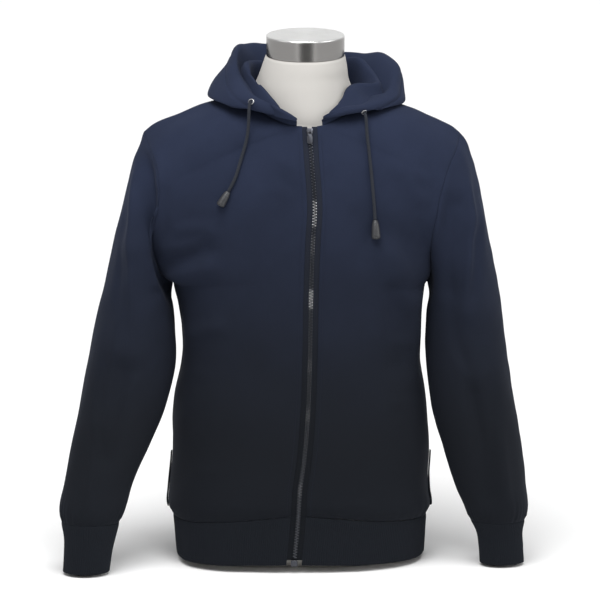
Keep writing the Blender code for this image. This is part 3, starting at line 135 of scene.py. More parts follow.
# A stitch along its pitch: how far it stands out and its half width, as shares of the sizes above
STITCH = table(
    "share lift half",
    [(0.1, -0.8, 0.35), (0.3, 0.6, 0.9), (0.5, 1.0, 1.0), (0.7, 0.6, 0.9), (0.9, -0.8, 0.35)],
)
# Gathers, and how many waves their sines have along a hem's panel and round a sleeve
GATHER_HEIGHT, GATHER_REACH, GATHER_START = 0.0022, 0.026, 0.007
HEM_GATHERS, CUFF_GATHERS = (9, 14, 22), (19, 29, 37)
ZIP_STITCH_IN, HOOD_CHANNEL = 0.0065, 0.022
# The channel's swell, measured back from the hood's crest, and the dip of its stitches
CHANNEL_SWELL, CHANNEL_MIDDLE, CHANNEL_HALF = 0.0011, 0.01, 0.008
CHANNEL_DIP, CHANNEL_DIP_HALF = 0.001, 0.0025
# Soft uneven waves in the cloth: their length, height and seed
BROAD_RIPPLES, FINE_RIPPLES, HOOD_RIPPLES = (0.085, 0.0022, 11), (0.034, 0.0006, 23), (0.05, 0.0034, 41)
RIPPLE_SINES, RIPPLE_SPREAD, RIPPLE_PHASE = 7, (0.7, 1.5), 7
FORM_EASE, FORM_NECK_RINGS = 0.001, 26
CAP_RIM_ROUND, CAP_FOOT_ROUND, CAP_DOME = 0.0022, 0.0006, 0.0006
# How far before a radius and a height up the cap's profile its brighter top comes in
STEEL_TOP_START, STEEL_TOP_FULL = 0.0035, 0.001

# Colours, and the heights between which painted shade darkens the cloth towards the hem
FLEECE_LIGHT, FLEECE_DARK = (0.0195, 0.0262, 0.052, 1), (0.0118, 0.016, 0.032, 1)
# The hem colours are painted shade: fleece, rib and tape darken to them towards the hem
FLEECE_PAINTED_SHADE, RIB_PAINTED_SHADE = (0.008, 0.0094, 0.0126, 1), (0.009, 0.0107, 0.0142, 1)
RIB_LIGHT, RIB_DARK = (0.018, 0.023, 0.04, 1), (0.0105, 0.013, 0.022, 1)
PAINTED_SHADE_FULL, PAINTED_SHADE_CLEAR = 0.19, 0.72
STEEL_LIGHT, STEEL_DARK = (0.3, 0.292, 0.284, 1), (0.19, 0.185, 0.18, 1)
STEEL_TOP = (0.86, 0.86, 0.85, 1)
TAPE_LIGHT, TAPE_DARK = (0.02, 0.0236, 0.0365, 1), (0.013, 0.0156, 0.0245, 1)
# The tape's painted shade towards the hem
TAPE_PAINTED_SHADE = (0.0062, 0.0073, 0.0096, 1)
CORD_LIGHT, CORD_DARK = (0.03, 0.033, 0.041, 1), (0.015, 0.017, 0.022, 1)
THREAD_LIGHT, THREAD_DARK = (0.019, 0.023, 0.042, 1), (0.01, 0.013, 0.024, 1)
TIP_LIGHT, TIP_DARK = (0.03, 0.031, 0.035, 1), (0.014, 0.0145, 0.017, 1)
GUNMETAL_LIGHT, GUNMETAL_DARK = (0.09, 0.094, 0.108, 1), (0.042, 0.044, 0.052, 1)
NICKEL_LIGHT, NICKEL_DARK = (0.42, 0.42, 0.43, 1), (0.26, 0.26, 0.27, 1)
# The teeth's bright colour is a painted highlight
TEETH_PAINTED_HIGHLIGHT, TEETH_DARK = (0.8, 0.8, 0.81, 1), (0.105, 0.11, 0.125, 1)
BLUE_SHEEN, CLOTH_SPECULAR, PIT_SCALE = (0.55, 0.62, 0.85, 1), 0.08, 350.0
# Where painted highlights lie on the zip's teeth, at the heights where it bends: the middle height, the half
# length, and how bright
PAINTED_HIGHLIGHTS = (
    (0.538, 0.0145, 1.0), (0.492, 0.011, 0.16), (0.412, 0.011, 0.9), (0.313, 0.008, 0.12),
    (0.24, 0.007, 0.16), (0.129, 0.008, 0.1),
)
JERSEY_LIGHT, JERSEY_DARK = (0.44, 0.425, 0.402, 1), (0.385, 0.371, 0.353, 1)

# The studio
FLOOR_HALF, FLOOR_GREY, WORLD_LIGHT = 60.0, 0.96, 0.46
# Far panels: strength, spread, turn from the front towards +X, and how high they stand, in degrees
PANELS = (
    ("top_panel", 1.75, 45.0, -6.0, 60.0),
    ("right_panel", 0.24, 35.0, -72.0, 24.0),
    ("left_panel", 1.0, 35.0, 70.0, 24.0),
)
# Round soft lights: power, diameter, place and aim
SOFT_LIGHTS = (
    ("top_softbox", 9.0, 1.0, (-0.15, -0.65, 1.75), (0.0, 0.0, 0.6)),
    ("hood_softbox", 1.0, 0.35, (-0.12, -0.22, 1.45), (0.06, 0.0, 0.72)),
)
# Cards that only reflections see: how far in front or behind, the turns of their two edges as the cap sees
# them, the heights of their foot and top, their grey and their glow
REFLECTED_CARDS = (
    ("dark_card", -1.2, -18.5, 23.5, 0.01, 2.2, 0.22, 0.0),
    ("bright_strip_right", -1.2, -24.5, -19.0, 0.01, 2.2, 0.9, 1.8),
    ("bright_strip_left", -1.2, 24.0, 29.5, 0.01, 2.2, 0.9, 1.8),
    ("back_card", 1.8, -50.0, 50.0, 0.9, 3.0, 0.4, 0.3),
)

# Torso sections: half widths to the side seams, depths from the middle to the front and the back, and how
# square each side of the section is. The cloth blouses over the hem band at the foot of the table.
BODY = table("height right left front back square_right square_left", [
    (0.06, 0.1895, 0.1895, 0.1335, 0.127, 3.0, 2.4),
    (0.07, 0.1915, 0.1915, 0.134, 0.128, 3.0, 2.4),
    (0.08, 0.197, 0.1965, 0.1345, 0.1285, 2.9, 2.4),
    (0.09, 0.1985, 0.197, 0.1375, 0.131, 2.8, 2.4),
    (0.1, 0.1975, 0.195, 0.1415, 0.134, 2.7, 2.4),
    (0.12, 0.196, 0.193, 0.1425, 0.134, 2.7, 2.4),
    (0.16, 0.1935, 0.1945, 0.1415, 0.129, 2.6, 2.4),
    (0.22, 0.1925, 0.1925, 0.138, 0.121, 2.5, 2.4),
    (0.25, 0.189, 0.19, 0.136, 0.117, 2.5, 2.4),
    (0.3, 0.179, 0.181, 0.132, 0.11, 2.4, 2.4),
    (0.35, 0.1785, 0.182, 0.13, 0.108, 2.4, 2.4),
    (0.39, 0.184, 0.1845, 0.129, 0.112, 2.4, 2.4),
    (0.42, 0.19, 0.189, 0.1295, 0.116, 2.4, 2.4),
    (0.48, 0.196, 0.196, 0.13, 0.124, 2.4, 2.4),
    (0.54, 0.2, 0.2, 0.128, 0.1275, 2.4, 2.4),
    (0.6, 0.2, 0.2, 0.119, 0.1215, 2.4, 2.4),
    (0.64, 0.2, 0.2, 0.1075, 0.107, 2.4, 2.4),
    (0.6635, 0.2, 0.2, 0.098, 0.096, 2.4, 2.4),
    (0.693, 0.2, 0.2, 0.08, 0.078, 2.4, 2.4),
])
# The zip wanders a little to each side as it hangs
ZIP_LINE = table("height x", [
    (0.01, -0.0092), (0.086, -0.0024), (0.132, 0.0004), (0.159, 0.0044), (0.239, 0.0116),
    (0.321, 0.0146), (0.41, 0.0161), (0.5, 0.0192), (0.546, 0.0217), (0.573, 0.0205),
    (0.608, 0.0176), (0.664, 0.0138),
])
# Neckline seam about the neck's axis; turn is 0 at the front and 180 at the nape
NECKLINE = table("turn radius height", [
    (0, 0.09, 0.6635), (15, 0.0905, 0.6655), (30, 0.089, 0.672), (45, 0.088, 0.681),
    (60, 0.087, 0.69), (75, 0.087, 0.6985), (90, 0.087, 0.7045), (110, 0.085, 0.703),
    (130, 0.0835, 0.7), (150, 0.0835, 0.696), (180, 0.086, 0.693),
])
ARMHOLE_COLUMNS = "x y height"
ARMHOLE_FRONT = {
    RIGHT: table(ARMHOLE_COLUMNS, [
        (-0.19, 0.004, 0.42), (-0.206, -0.04, 0.437), (-0.2165, -0.07, 0.477),
        (-0.2135, -0.086, 0.517), (-0.2087, -0.088, 0.553), (-0.21, -0.077, 0.5885),
        (-0.2205, -0.044, 0.621), (-0.234, 0.0, 0.645),
    ]),
    LEFT: table(ARMHOLE_COLUMNS, [
        (0.189, 0.004, 0.418), (0.1945, -0.042, 0.44), (0.1935, -0.07, 0.4765),
        (0.2, -0.087, 0.523), (0.206, -0.087, 0.56), (0.2175, -0.073, 0.5955),
        (0.2295, -0.04, 0.622), (0.2385, 0.0, 0.6425),
    ]),
}
ARMHOLE_BACK = {
    side: table(ARMHOLE_COLUMNS, [
        (side * abs(ARMHOLE_FRONT[side]["x"][0]), SIDE_SEAM_Y, ARMHOLE_FRONT[side]["height"][0]),
        (side * 0.202, 0.045, 0.437), (side * 0.206, 0.076, 0.477), (side * 0.205, 0.094, 0.52),
        (side * 0.206, 0.093, 0.565), (side * 0.2115, 0.074, 0.6), (side * 0.222, 0.04, 0.628),
        (ARMHOLE_FRONT[side]["x"][-1], 0.0, ARMHOLE_FRONT[side]["height"][-1]),
    ])
    for side in (RIGHT, LEFT)
}
# Sleeve sections: the outer and the inner line as the front view shows them, and the middle and half depth
SLEEVE_COLUMNS = "along outer_x outer_z inner_x inner_z middle_y half_y"
SLEEVE = {
    RIGHT: table(SLEEVE_COLUMNS, [
        (0.0, -0.234, 0.645, -0.19, 0.42, 0.003, 0.088),
        (0.06, -0.2405, 0.619, -0.1925, 0.408, 0.0, 0.085),
        (0.14, -0.252, 0.584, -0.193, 0.397, -0.004, 0.081),
        (0.26, -0.2675, 0.523, -0.189, 0.378, -0.012, 0.076),
        (0.38, -0.2845, 0.455, -0.1855, 0.35, -0.022, 0.072),
        (0.5, -0.2995, 0.39, -0.184, 0.322, -0.033, 0.069),
        (0.62, -0.314, 0.325, -0.1875, 0.287, -0.046, 0.066),
        (0.74, -0.3258, 0.262, -0.201, 0.237, -0.063, 0.061),
        (0.85, -0.338, 0.195, -0.2235, 0.185, -0.085, 0.054),
        (0.94, -0.35, 0.13, -0.2505, 0.128, -0.109, 0.047),
        (0.985, -0.3558, 0.092, -0.261, 0.091, -0.1235, 0.045),
        (1.0, -0.3535, 0.0785, -0.2675, 0.0785, -0.127, 0.041),
    ]),
    LEFT: table(SLEEVE_COLUMNS, [
        (0.0, 0.2385, 0.6425, 0.189, 0.418, 0.003, 0.088),
        (0.06, 0.249, 0.622, 0.1915, 0.406, 0.0, 0.085),
        (0.14, 0.2615, 0.584, 0.1915, 0.396, -0.003, 0.081),
        (0.26, 0.2755, 0.522, 0.189, 0.378, -0.008, 0.076),
        (0.38, 0.289, 0.455, 0.188, 0.35, -0.013, 0.072),
        (0.5, 0.2995, 0.39, 0.1875, 0.318, -0.02, 0.07),
        (0.62, 0.31, 0.318, 0.1895, 0.283, -0.028, 0.067),
        (0.74, 0.319, 0.255, 0.1965, 0.235, -0.037, 0.062),
        (0.85, 0.3285, 0.195, 0.211, 0.186, -0.047, 0.055),
        (0.94, 0.3385, 0.12, 0.233, 0.118, -0.057, 0.048),
        (0.985, 0.3415, 0.082, 0.249, 0.082, -0.0628, 0.044),
        (1.0, 0.3375, 0.069, 0.254, 0.069, -0.0645, 0.0405),
    ]),
}
# Cuff sections below the wrist seam: where each side lies, the height, and the middle and half depth
CUFF_COLUMNS = "down outer_x inner_x height middle_y half_y"
CUFF = {
    RIGHT: table(CUFF_COLUMNS, [
        (0.0, -0.3535, -0.2675, 0.0785, -0.127, 0.041),
        (0.16, -0.351, -0.2708, 0.066, -0.129, 0.0375),
        (0.58, -0.35, -0.2785, 0.035, -0.131, 0.0345),
        (1.0, -0.3525, -0.283, 0.0045, -0.131, 0.033),
    ]),
    LEFT: table(CUFF_COLUMNS, [
        (0.0, 0.3375, 0.254, 0.069, -0.0645, 0.0405),
        (0.16, 0.3342, 0.2612, 0.056, -0.065, 0.0365),
        (0.58, 0.3341, 0.2665, 0.029, -0.0655, 0.0335),
        (1.0, 0.3355, 0.2683, 0.0045, -0.0655, 0.0325),
    ]),
}
# Hood sections about the neck's axis. From the neckline the cloth stands up, folds down into a pocket that
# becomes the hanging bag behind, comes round the belly and up over the roll to the hood's open edge.
HOOD_COLUMNS = (
    "turn stand_r stand_z pocket_r pocket_z belly_r belly_z roll_r roll_z edge_r edge_z"
)
HOOD = {
    RIGHT: table(HOOD_COLUMNS, [
        (8, 0.0905, 0.6668, 0.091, 0.668, 0.0916, 0.6692, 0.0922, 0.6704, 0.0928, 0.6716),
        (19, 0.09, 0.673, 0.0925, 0.6755, 0.096, 0.6775, 0.099, 0.681, 0.101, 0.685),
        (30, 0.088, 0.692, 0.0955, 0.6835, 0.107, 0.68, 0.1085, 0.689, 0.1045, 0.697),
        (43, 0.083, 0.7055, 0.096, 0.692, 0.1165, 0.686, 0.115, 0.698, 0.1045, 0.7045),
        (56, 0.0835, 0.7215, 0.097, 0.696, 0.1245, 0.689, 0.122, 0.703, 0.1045, 0.7135),
        (74, 0.085, 0.736, 0.101, 0.702, 0.137, 0.693, 0.127, 0.715, 0.102, 0.7285),
        (92, 0.0865, 0.743, 0.108, 0.703, 0.144, 0.698, 0.126, 0.729, 0.102, 0.7485),
        (116, 0.089, 0.745, 0.12, 0.692, 0.149, 0.693, 0.131, 0.742, 0.111, 0.766),
        (142, 0.093, 0.74, 0.142, 0.64, 0.185, 0.64, 0.172, 0.72, 0.134, 0.7665),
        (160, 0.096, 0.737, 0.151, 0.585, 0.206, 0.6, 0.191, 0.7, 0.14, 0.762),
        (180, 0.098, 0.735, 0.155, 0.56, 0.212, 0.585, 0.197, 0.695, 0.14, 0.756),
    ]),
    LEFT: table(HOOD_COLUMNS, [
        (15, 0.0905, 0.668, 0.0912, 0.6703, 0.092, 0.6726, 0.0928, 0.6749, 0.0936, 0.6772),
        (25, 0.0875, 0.6835, 0.092, 0.679, 0.099, 0.6765, 0.101, 0.681, 0.0985, 0.6855),
        (34, 0.082, 0.691, 0.0905, 0.685, 0.106, 0.68, 0.108, 0.686, 0.101, 0.691),
        (47, 0.078, 0.7005, 0.092, 0.691, 0.1145, 0.6825, 0.115, 0.6895, 0.1055, 0.6945),
        (58, 0.0755, 0.7105, 0.096, 0.696, 0.123, 0.684, 0.122, 0.693, 0.111, 0.6985),
        (68, 0.08, 0.716, 0.101, 0.6985, 0.13, 0.685, 0.129, 0.6965, 0.116, 0.7025),
        (79, 0.106, 0.7185, 0.1145, 0.701, 0.138, 0.687, 0.137, 0.702, 0.123, 0.7085),
        (92, 0.1045, 0.7245, 0.118, 0.702, 0.1485, 0.69, 0.1395, 0.717, 0.129, 0.7225),
        (108, 0.0985, 0.737, 0.125, 0.699, 0.152, 0.693, 0.145, 0.737, 0.133, 0.741),
        (124, 0.0965, 0.748, 0.133, 0.685, 0.168, 0.68, 0.153, 0.746, 0.132, 0.753),
        (142, 0.0965, 0.746, 0.143, 0.643, 0.186, 0.645, 0.17, 0.728, 0.133, 0.753),
        (160, 0.097, 0.74, 0.151, 0.587, 0.206, 0.601, 0.19, 0.705, 0.136, 0.753),
        (180, 0.098, 0.735, 0.155, 0.56, 0.212, 0.585, 0.197, 0.695, 0.14, 0.756),
    ]),
}
# How far the hood's open edge rolls on inwards: the share of the way to a place just beside and below the
# standing part's top
HOOD_LIP = {
    RIGHT: table("turn share", [
        (8, 0.06), (19, 0.3), (30, 0.65), (43, 0.9), (74, 0.95), (116, 0.92), (142, 0.62), (160, 0.32),
        (180, 0.25),
    ]),
    LEFT: table("turn share", [
        (15, 0.06), (25, 0.3), (34, 0.55), (47, 0.8), (68, 0.9), (116, 0.92), (142, 0.62), (160, 0.32),
        (180, 0.25),
    ]),
}
LIP_BESIDE, LIP_BELOW = 0.006, 0.018
# The turns at which the hood's front edges meet the neckline
HOOD_START = {RIGHT: 8.5, LEFT: 16.0}
# Soft folds that the front view shows, and like ones at the back: from one end to the other in that view,
# the half width, and how far the middle stands out, or in where it is negative. face is -1 in front and 1
# behind. They show where the cloth faces the front or the back, and fade in beside the zip.
FOLDS = table("face x0 z0 x1 z1 width height", [
    (-1, -0.236, 0.6, -0.244, 0.48, 0.024, 0.0065),
    (-1, -0.244, 0.48, -0.25, 0.33, 0.026, 0.0075),
    (-1, -0.212, 0.56, -0.216, 0.42, 0.018, -0.006),
    (-1, -0.283, 0.33, -0.3, 0.23, 0.024, 0.007),
    (-1, -0.262, 0.3, -0.286, 0.18, 0.018, -0.0055),
    (-1, 0.24, 0.62, 0.256, 0.52, 0.022, 0.0065),
    (-1, 0.256, 0.52, 0.25, 0.39, 0.024, 0.0075),
    (-1, 0.225, 0.54, 0.224, 0.42, 0.017, -0.006),
    (-1, 0.283, 0.29, 0.305, 0.1, 0.022, 0.007),
    (-1, 0.26, 0.26, 0.28, 0.11, 0.017, -0.0055),
    (-1, 0.125, 0.478, 0.165, 0.405, 0.02, 0.0065),
    (-1, 0.165, 0.405, 0.172, 0.29, 0.018, 0.007),
    (-1, 0.136, 0.42, 0.142, 0.31, 0.016, -0.0045),
    (-1, -0.195, 0.48, -0.135, 0.51, 0.016, 0.006),
    (-1, -0.188, 0.436, -0.14, 0.455, 0.016, 0.006),
    (-1, -0.19, 0.458, -0.135, 0.482, 0.013, -0.005),
    (-1, -0.172, 0.35, -0.12, 0.366, 0.016, 0.005),
    (-1, 0.15, 0.598, 0.178, 0.56, 0.016, 0.0045),
    (1, 0.242, 0.59, 0.256, 0.43, 0.024, 0.0065),
    (1, -0.24, 0.59, -0.252, 0.43, 0.024, 0.0065),
    (1, 0.285, 0.35, 0.3, 0.23, 0.024, 0.0065),
    (1, -0.288, 0.34, -0.305, 0.22, 0.024, 0.0065),
    (1, -0.185, 0.47, -0.115, 0.545, 0.02, 0.006),
    (1, 0.19, 0.48, 0.12, 0.55, 0.02, 0.006),
    (1, -0.09, 0.185, -0.01, 0.165, 0.02, 0.005),
    (1, 0.03, 0.232, 0.12, 0.208, 0.02, 0.0055),
    (1, -0.15, 0.305, -0.08, 0.29, 0.018, 0.005),
])
FOLDS_FACING, FOLDS_FADE_IN = (0.1, 0.6), (0.015, 0.05)
# The form's neck above the neckline, and its foot below the hem seam
FORM_NECK = table("height radius lean", [
    (0.66, 0.082, 0.0), (0.68, 0.078, -0.002), (0.7, 0.073, -0.004),
    (0.715, 0.0695, -0.0042), (0.727, 0.0665, -0.0035), (0.74, 0.064, -0.0018),
    (0.76, 0.0588, 0.0),
])
FORM_FOOT = table(
    "height half_width front back",
    [(0.045, 0.168, 0.113, 0.109), (0.014, 0.162, 0.105, 0.103), (0.0, 0.15, 0.09, 0.09)],
)
# Drawcord: its eyelets on the hood, each a place on the cloth and the way it faces, and the two routes. The
# right cord drops over its eyelet's lower rim, and the left one comes out of an eyelet under the hood's roll.
CORD_RADIUS = 0.0024
EYELET_RADIUS, EYELET_WIRE, EYELET_LIFT = 0.0038, 0.001, 0.0015
EYELET_FLAT, EYELET_CELLS = 0.8, (48, 16)
EYELETS = {
    RIGHT: ((-0.0712, -0.0917, 0.6982), (-0.31, -0.8, 0.51)),
    LEFT: ((0.0934, -0.0857, 0.6834), (0.41, -0.62, -0.66)),
}
CORDS = {
    RIGHT: [
        (-0.0729, -0.0959, 0.7003), (-0.074, -0.0987, 0.6951), (-0.0745, -0.1003, 0.689),
        (-0.0748, -0.1008, 0.682), (-0.075, -0.1004, 0.674), (-0.0756, -0.1, 0.664),
        (-0.0768, -0.0999, 0.652), (-0.079, -0.101, 0.641), (-0.0821, -0.103, 0.63),
        (-0.0851, -0.1051, 0.62), (-0.0882, -0.1075, 0.61), (-0.0911, -0.1098, 0.6),
        (-0.0945, -0.1119, 0.59), (-0.0992, -0.1138, 0.58), (-0.105, -0.115, 0.569),
    ],
    LEFT: [
        (0.0938, -0.0862, 0.6829), (0.0955, -0.0888, 0.68), (0.0966, -0.0915, 0.6755),
        (0.0973, -0.0938, 0.668), (0.0979, -0.096, 0.658), (0.0988, -0.0987, 0.647),
        (0.1004, -0.102, 0.634), (0.1018, -0.1053, 0.621), (0.1032, -0.1086, 0.608),
        (0.1046, -0.1115, 0.595), (0.1058, -0.1141, 0.582), (0.1069, -0.1165, 0.57),
        (0.108, -0.1185, 0.557), (0.109, -0.1198, 0.544), (0.1096, -0.1206, 0.5335),
        (0.11, -0.1211, 0.5278),
    ],
}
# The bell-shaped tips: points along the middle of each, and the radius there
TIPS = {
    RIGHT: table("x y z radius", [
        (-0.1053, -0.1151, 0.5685, 0.0034), (-0.1066, -0.1157, 0.5662, 0.0042),
        (-0.1092, -0.117, 0.5617, 0.0053), (-0.1135, -0.1189, 0.5545, 0.0061),
        (-0.1163, -0.1199, 0.5498, 0.006), (-0.1171, -0.1202, 0.5485, 0.0052),
    ]),
    LEFT: table("x y z radius", [
        (0.1101, -0.1213, 0.5273, 0.0034), (0.1103, -0.122, 0.5247, 0.0042),
        (0.1106, -0.1237, 0.519, 0.0054), (0.1111, -0.1265, 0.5095, 0.0062),
        (0.1114, -0.1279, 0.5025, 0.0061), (0.1115, -0.1283, 0.501, 0.0052),
    ]),
}
# How far the form keeps from the cloth's inside
FORM_ROOM = table("height room", [
    (0.06, 0.01), (0.11, 0.016), (0.2, 0.01), (0.3, 0.007), (0.45, 0.006), (0.58, 0.003),
    (0.64, 0.0), (0.72, 0.0),
])
# Finer creases than the solids have, each a stroke bent through three points of the front view: its half
# width, and how far it stands out or in. face is -1 in front and 1 behind.
CREASES = table("face x0 z0 xm zm x1 z1 width height", [
    (-1, -0.035, 0.619, -0.017, 0.606, 0.003, 0.598, 0.006, 0.0011),
    (-1, -0.041, 0.599, -0.022, 0.583, 0.0, 0.572, 0.006, -0.0011),
    (-1, -0.047, 0.579, -0.028, 0.566, -0.006, 0.558, 0.006, 0.0009),
    (-1, -0.193, 0.51, -0.166, 0.514, -0.138, 0.524, 0.008, 0.0024),
    (-1, -0.187, 0.477, -0.166, 0.48, -0.143, 0.489, 0.0075, 0.0022),
    (-1, -0.19, 0.494, -0.164, 0.498, -0.132, 0.51, 0.006, -0.0016),
    (-1, -0.167, 0.535, -0.138, 0.54, -0.103, 0.55, 0.01, 0.0014),
    (-1, -0.2385, 0.616, -0.2445, 0.5, -0.249, 0.345, 0.0055, 0.0056),
    (-1, -0.2235, 0.624, -0.2235, 0.56, -0.222, 0.47, 0.0085, -0.013),
    (-1, -0.252, 0.56, -0.262, 0.47, -0.268, 0.37, 0.007, -0.004),
    (-1, -0.213, 0.59, -0.209, 0.53, -0.211, 0.478, 0.006, 0.0044),
    (-1, -0.217, 0.47, -0.212, 0.44, -0.205, 0.415, 0.01, 0.005),
    (-1, -0.295, 0.262, -0.306, 0.165, -0.316, 0.092, 0.0085, 0.005),
    (-1, -0.262, 0.4, -0.278, 0.3, -0.296, 0.19, 0.01, 0.0038),
    (-1, -0.275, 0.35, -0.29, 0.27, -0.3, 0.15, 0.008, -0.0038),
    (-1, -0.232, 0.3, -0.252, 0.27, -0.262, 0.225, 0.008, 0.0018),
    (-1, -0.143, 0.361, -0.13, 0.365, -0.116, 0.371, 0.007, 0.0014),
    (-1, -0.111, 0.101, -0.098, 0.103, -0.084, 0.104, 0.006, 0.0014),
    (-1, -0.172, 0.3, -0.15, 0.292, -0.122, 0.297, 0.009, 0.0016),
    (-1, -0.165, 0.16, -0.14, 0.15, -0.105, 0.152, 0.01, 0.0013),
    (-1, 0.158, 0.602, 0.178, 0.59, 0.194, 0.575, 0.007, 0.002),
    (-1, 0.167, 0.581, 0.179, 0.571, 0.188, 0.558, 0.006, -0.0014),
    (-1, 0.203, 0.561, 0.199, 0.512, 0.189, 0.461, 0.009, 0.0024),
    (-1, 0.129, 0.489, 0.149, 0.458, 0.166, 0.422, 0.01, 0.0024),
    (-1, 0.173, 0.532, 0.178, 0.502, 0.18, 0.473, 0.008, -0.002),
    (-1, 0.243, 0.6, 0.247, 0.5, 0.243, 0.39, 0.0055, 0.0056),
    (-1, 0.255, 0.59, 0.258, 0.49, 0.252, 0.38, 0.0075, -0.0046),
    (-1, 0.222, 0.47, 0.228, 0.38, 0.236, 0.3, 0.014, -0.004),
    (-1, 0.288, 0.235, 0.299, 0.15, 0.306, 0.09, 0.0085, 0.005),
    (-1, 0.275, 0.33, 0.283, 0.24, 0.292, 0.15, 0.0085, -0.0036),
    (-1, 0.215, 0.6, 0.206, 0.54, 0.196, 0.477, 0.008, 0.0044),
    (-1, 0.147, 0.43, 0.163, 0.375, 0.18, 0.318, 0.0085, 0.004),
    (-1, 0.23, 0.358, 0.256, 0.26, 0.28, 0.146, 0.01, -0.0032),
    (-1, 0.226, 0.33, 0.24, 0.3, 0.262, 0.285, 0.008, 0.0018),
    (-1, 0.128, 0.35, 0.152, 0.34, 0.174, 0.343, 0.009, 0.0018),
    (-1, 0.12, 0.262, 0.15, 0.25, 0.176, 0.256, 0.009, 0.0014),
    (-1, 0.07, 0.106, 0.086, 0.104, 0.104, 0.105, 0.006, 0.0012),
    (1, -0.195, 0.5, -0.16, 0.522, -0.11, 0.528, 0.009, 0.0022),
    (1, -0.186, 0.455, -0.15, 0.472, -0.112, 0.47, 0.008, 0.0018),
    (1, 0.192, 0.49, 0.158, 0.515, 0.118, 0.524, 0.009, 0.0024),
    (1, 0.184, 0.446, 0.15, 0.458, 0.104, 0.452, 0.008, 0.0016),
    (1, -0.06, 0.33, -0.01, 0.318, 0.045, 0.326, 0.01, 0.0018),
    (1, -0.11, 0.262, -0.05, 0.246, 0.012, 0.25, 0.011, 0.002),
    (1, 0.02, 0.292, 0.07, 0.278, 0.118, 0.284, 0.009, -0.0014),
    (1, -0.126, 0.148, -0.07, 0.136, -0.02, 0.142, 0.01, 0.0017),
    (1, 0.036, 0.14, 0.09, 0.128, 0.142, 0.137, 0.01, 0.0019),
    (1, -0.262, 0.38, -0.285, 0.345, -0.302, 0.338, 0.008, 0.0024),
    (1, -0.258, 0.352, -0.28, 0.322, -0.306, 0.306, 0.008, -0.0018),
    (1, 0.262, 0.376, 0.286, 0.35, 0.301, 0.33, 0.008, 0.0024),
    (1, 0.254, 0.34, 0.276, 0.316, 0.3, 0.298, 0.008, -0.0018),
    (1, -0.246, 0.56, -0.243, 0.49, -0.252, 0.41, 0.01, 0.0024),
    (1, 0.248, 0.57, 0.252, 0.5, 0.246, 0.42, 0.01, 0.0024),
    (1, -0.268, 0.24, -0.292, 0.17, -0.318, 0.1, 0.011, 0.0024),
    (1, 0.262, 0.24, 0.284, 0.17, 0.306, 0.095, 0.011, 0.0024),
])
CREASES_FACING, CREASES_FADE_IN = (0.05, 0.45), (0.011, 0.026)
# A stroke's straight steps, and the shares of its length over which it fades in and out
STROKE_STEPS, STROKE_FADE_IN, STROKE_FADE_OUT = 8, (-0.02, 0.3), (0.7, 1.02)
# The share of the soft waves that is left beside the zip
RIPPLES_BY_ZIP = 0.25


def through(at, knots, values):
    """A smooth curve through (knots, values), whose slope at a knot is the mean of the slopes beside it."""
    at = np.clip(np.asarray(at, float), knots[0], knots[-1])
    knots, values = np.asarray(knots, float), np.asarray(values, float)
    slopes = np.gradient(values, knots, axis=0)
    i = np.clip(np.searchsorted(knots, at) - 1, 0, len(knots) - 2)
    step = knots[i + 1] - knots[i]
    t = (at - knots[i]) / step
    if values.ndim > 1:
        step, t = step[..., None], t[..., None]
    ends = values[i] * (1 + 2 * t) * (1 - t) ** 2 + values[i + 1] * (3 - 2 * t) * t**2
    return ends + step * (slopes[i] * t * (1 - t) ** 2 - slopes[i + 1] * (1 - t) * t**2)


def lengths(curve, power=1.0):
    """How far along the curve each of its points lies, as a share of its length. A power of a half keeps a
    curve through uneven knots from swinging out."""
    steps = np.linalg.norm(np.diff(curve, axis=0), axis=1) ** power
    along = np.concatenate([[0.0], np.cumsum(steps)])
    return along / along[-1]


def even(curve, count):
    """That many points, evenly spaced along a finely sampled curve."""
    share = lengths(curve)
    return np.stack([np.interp(np.linspace(0, 1, count), share, axis) for axis in curve.T], axis=1)


def smooth_step(x, start, end):
    """0 before start and 1 after end, with a soft rise between."""
    t = np.clip((np.asarray(x, float) - start) / (end - start), 0, 1)
    return t * t * (3 - 2 * t)


def body(column, height):
    """A column of the torso's table at these heights."""
    return through(height, BODY["height"], BODY[column])


def zip_x(height):
    """How far the zip's middle lies to the wearer's left at these heights."""
    return through(height, ZIP_LINE["height"], ZIP_LINE["x"])


def armhole(parts, share):
    """Points of an armhole half from the underarm, 0, to the shoulder tip, 1."""
    knots = np.stack([parts["x"], parts["y"], parts["height"]], axis=1)
    return through(share, lengths(knots), knots)


def neckline(side, turn):
    """Points of the neckline seam at these turns, in degrees."""
    radius = through(turn, NECKLINE["turn"], NECKLINE["radius"])
    angle = np.radians(turn)
    x = NECK_X + side * radius * np.sin(angle)
    y = NECK_Y - radius * np.cos(angle)
    return np.stack([x, y, through(turn, NECKLINE["turn"], NECKLINE["height"])], axis=-1)


def across(inner, outer, power, finish, lift, cells, rise=0.0, tip_rise=0.0):
    """A row from a panel's inner edge to its outer one. It leaves the inner edge level and turns back towards
    the outer one as the curve (1 - s^power)^(1/finish) does. lift raises its middle by a sine, rise by the
    sine's power of one and a half, and tip_rise its outer part by the sine of pi s^5."""
    s = np.linspace(0, 1, ROW_SAMPLES)
    curve = inner + (outer - inner) * s[:, None]
    curve[:, 1] = outer[1] + (inner[1] - outer[1]) * (1 - s**power) ** (1 / finish)
    arch = np.clip(np.sin(np.pi * s), 0, 1)
    curve[:, 2] += lift * arch + rise * arch**1.5 + tip_rise * np.sin(np.pi * s**5)
    return even(curve, cells + 1)


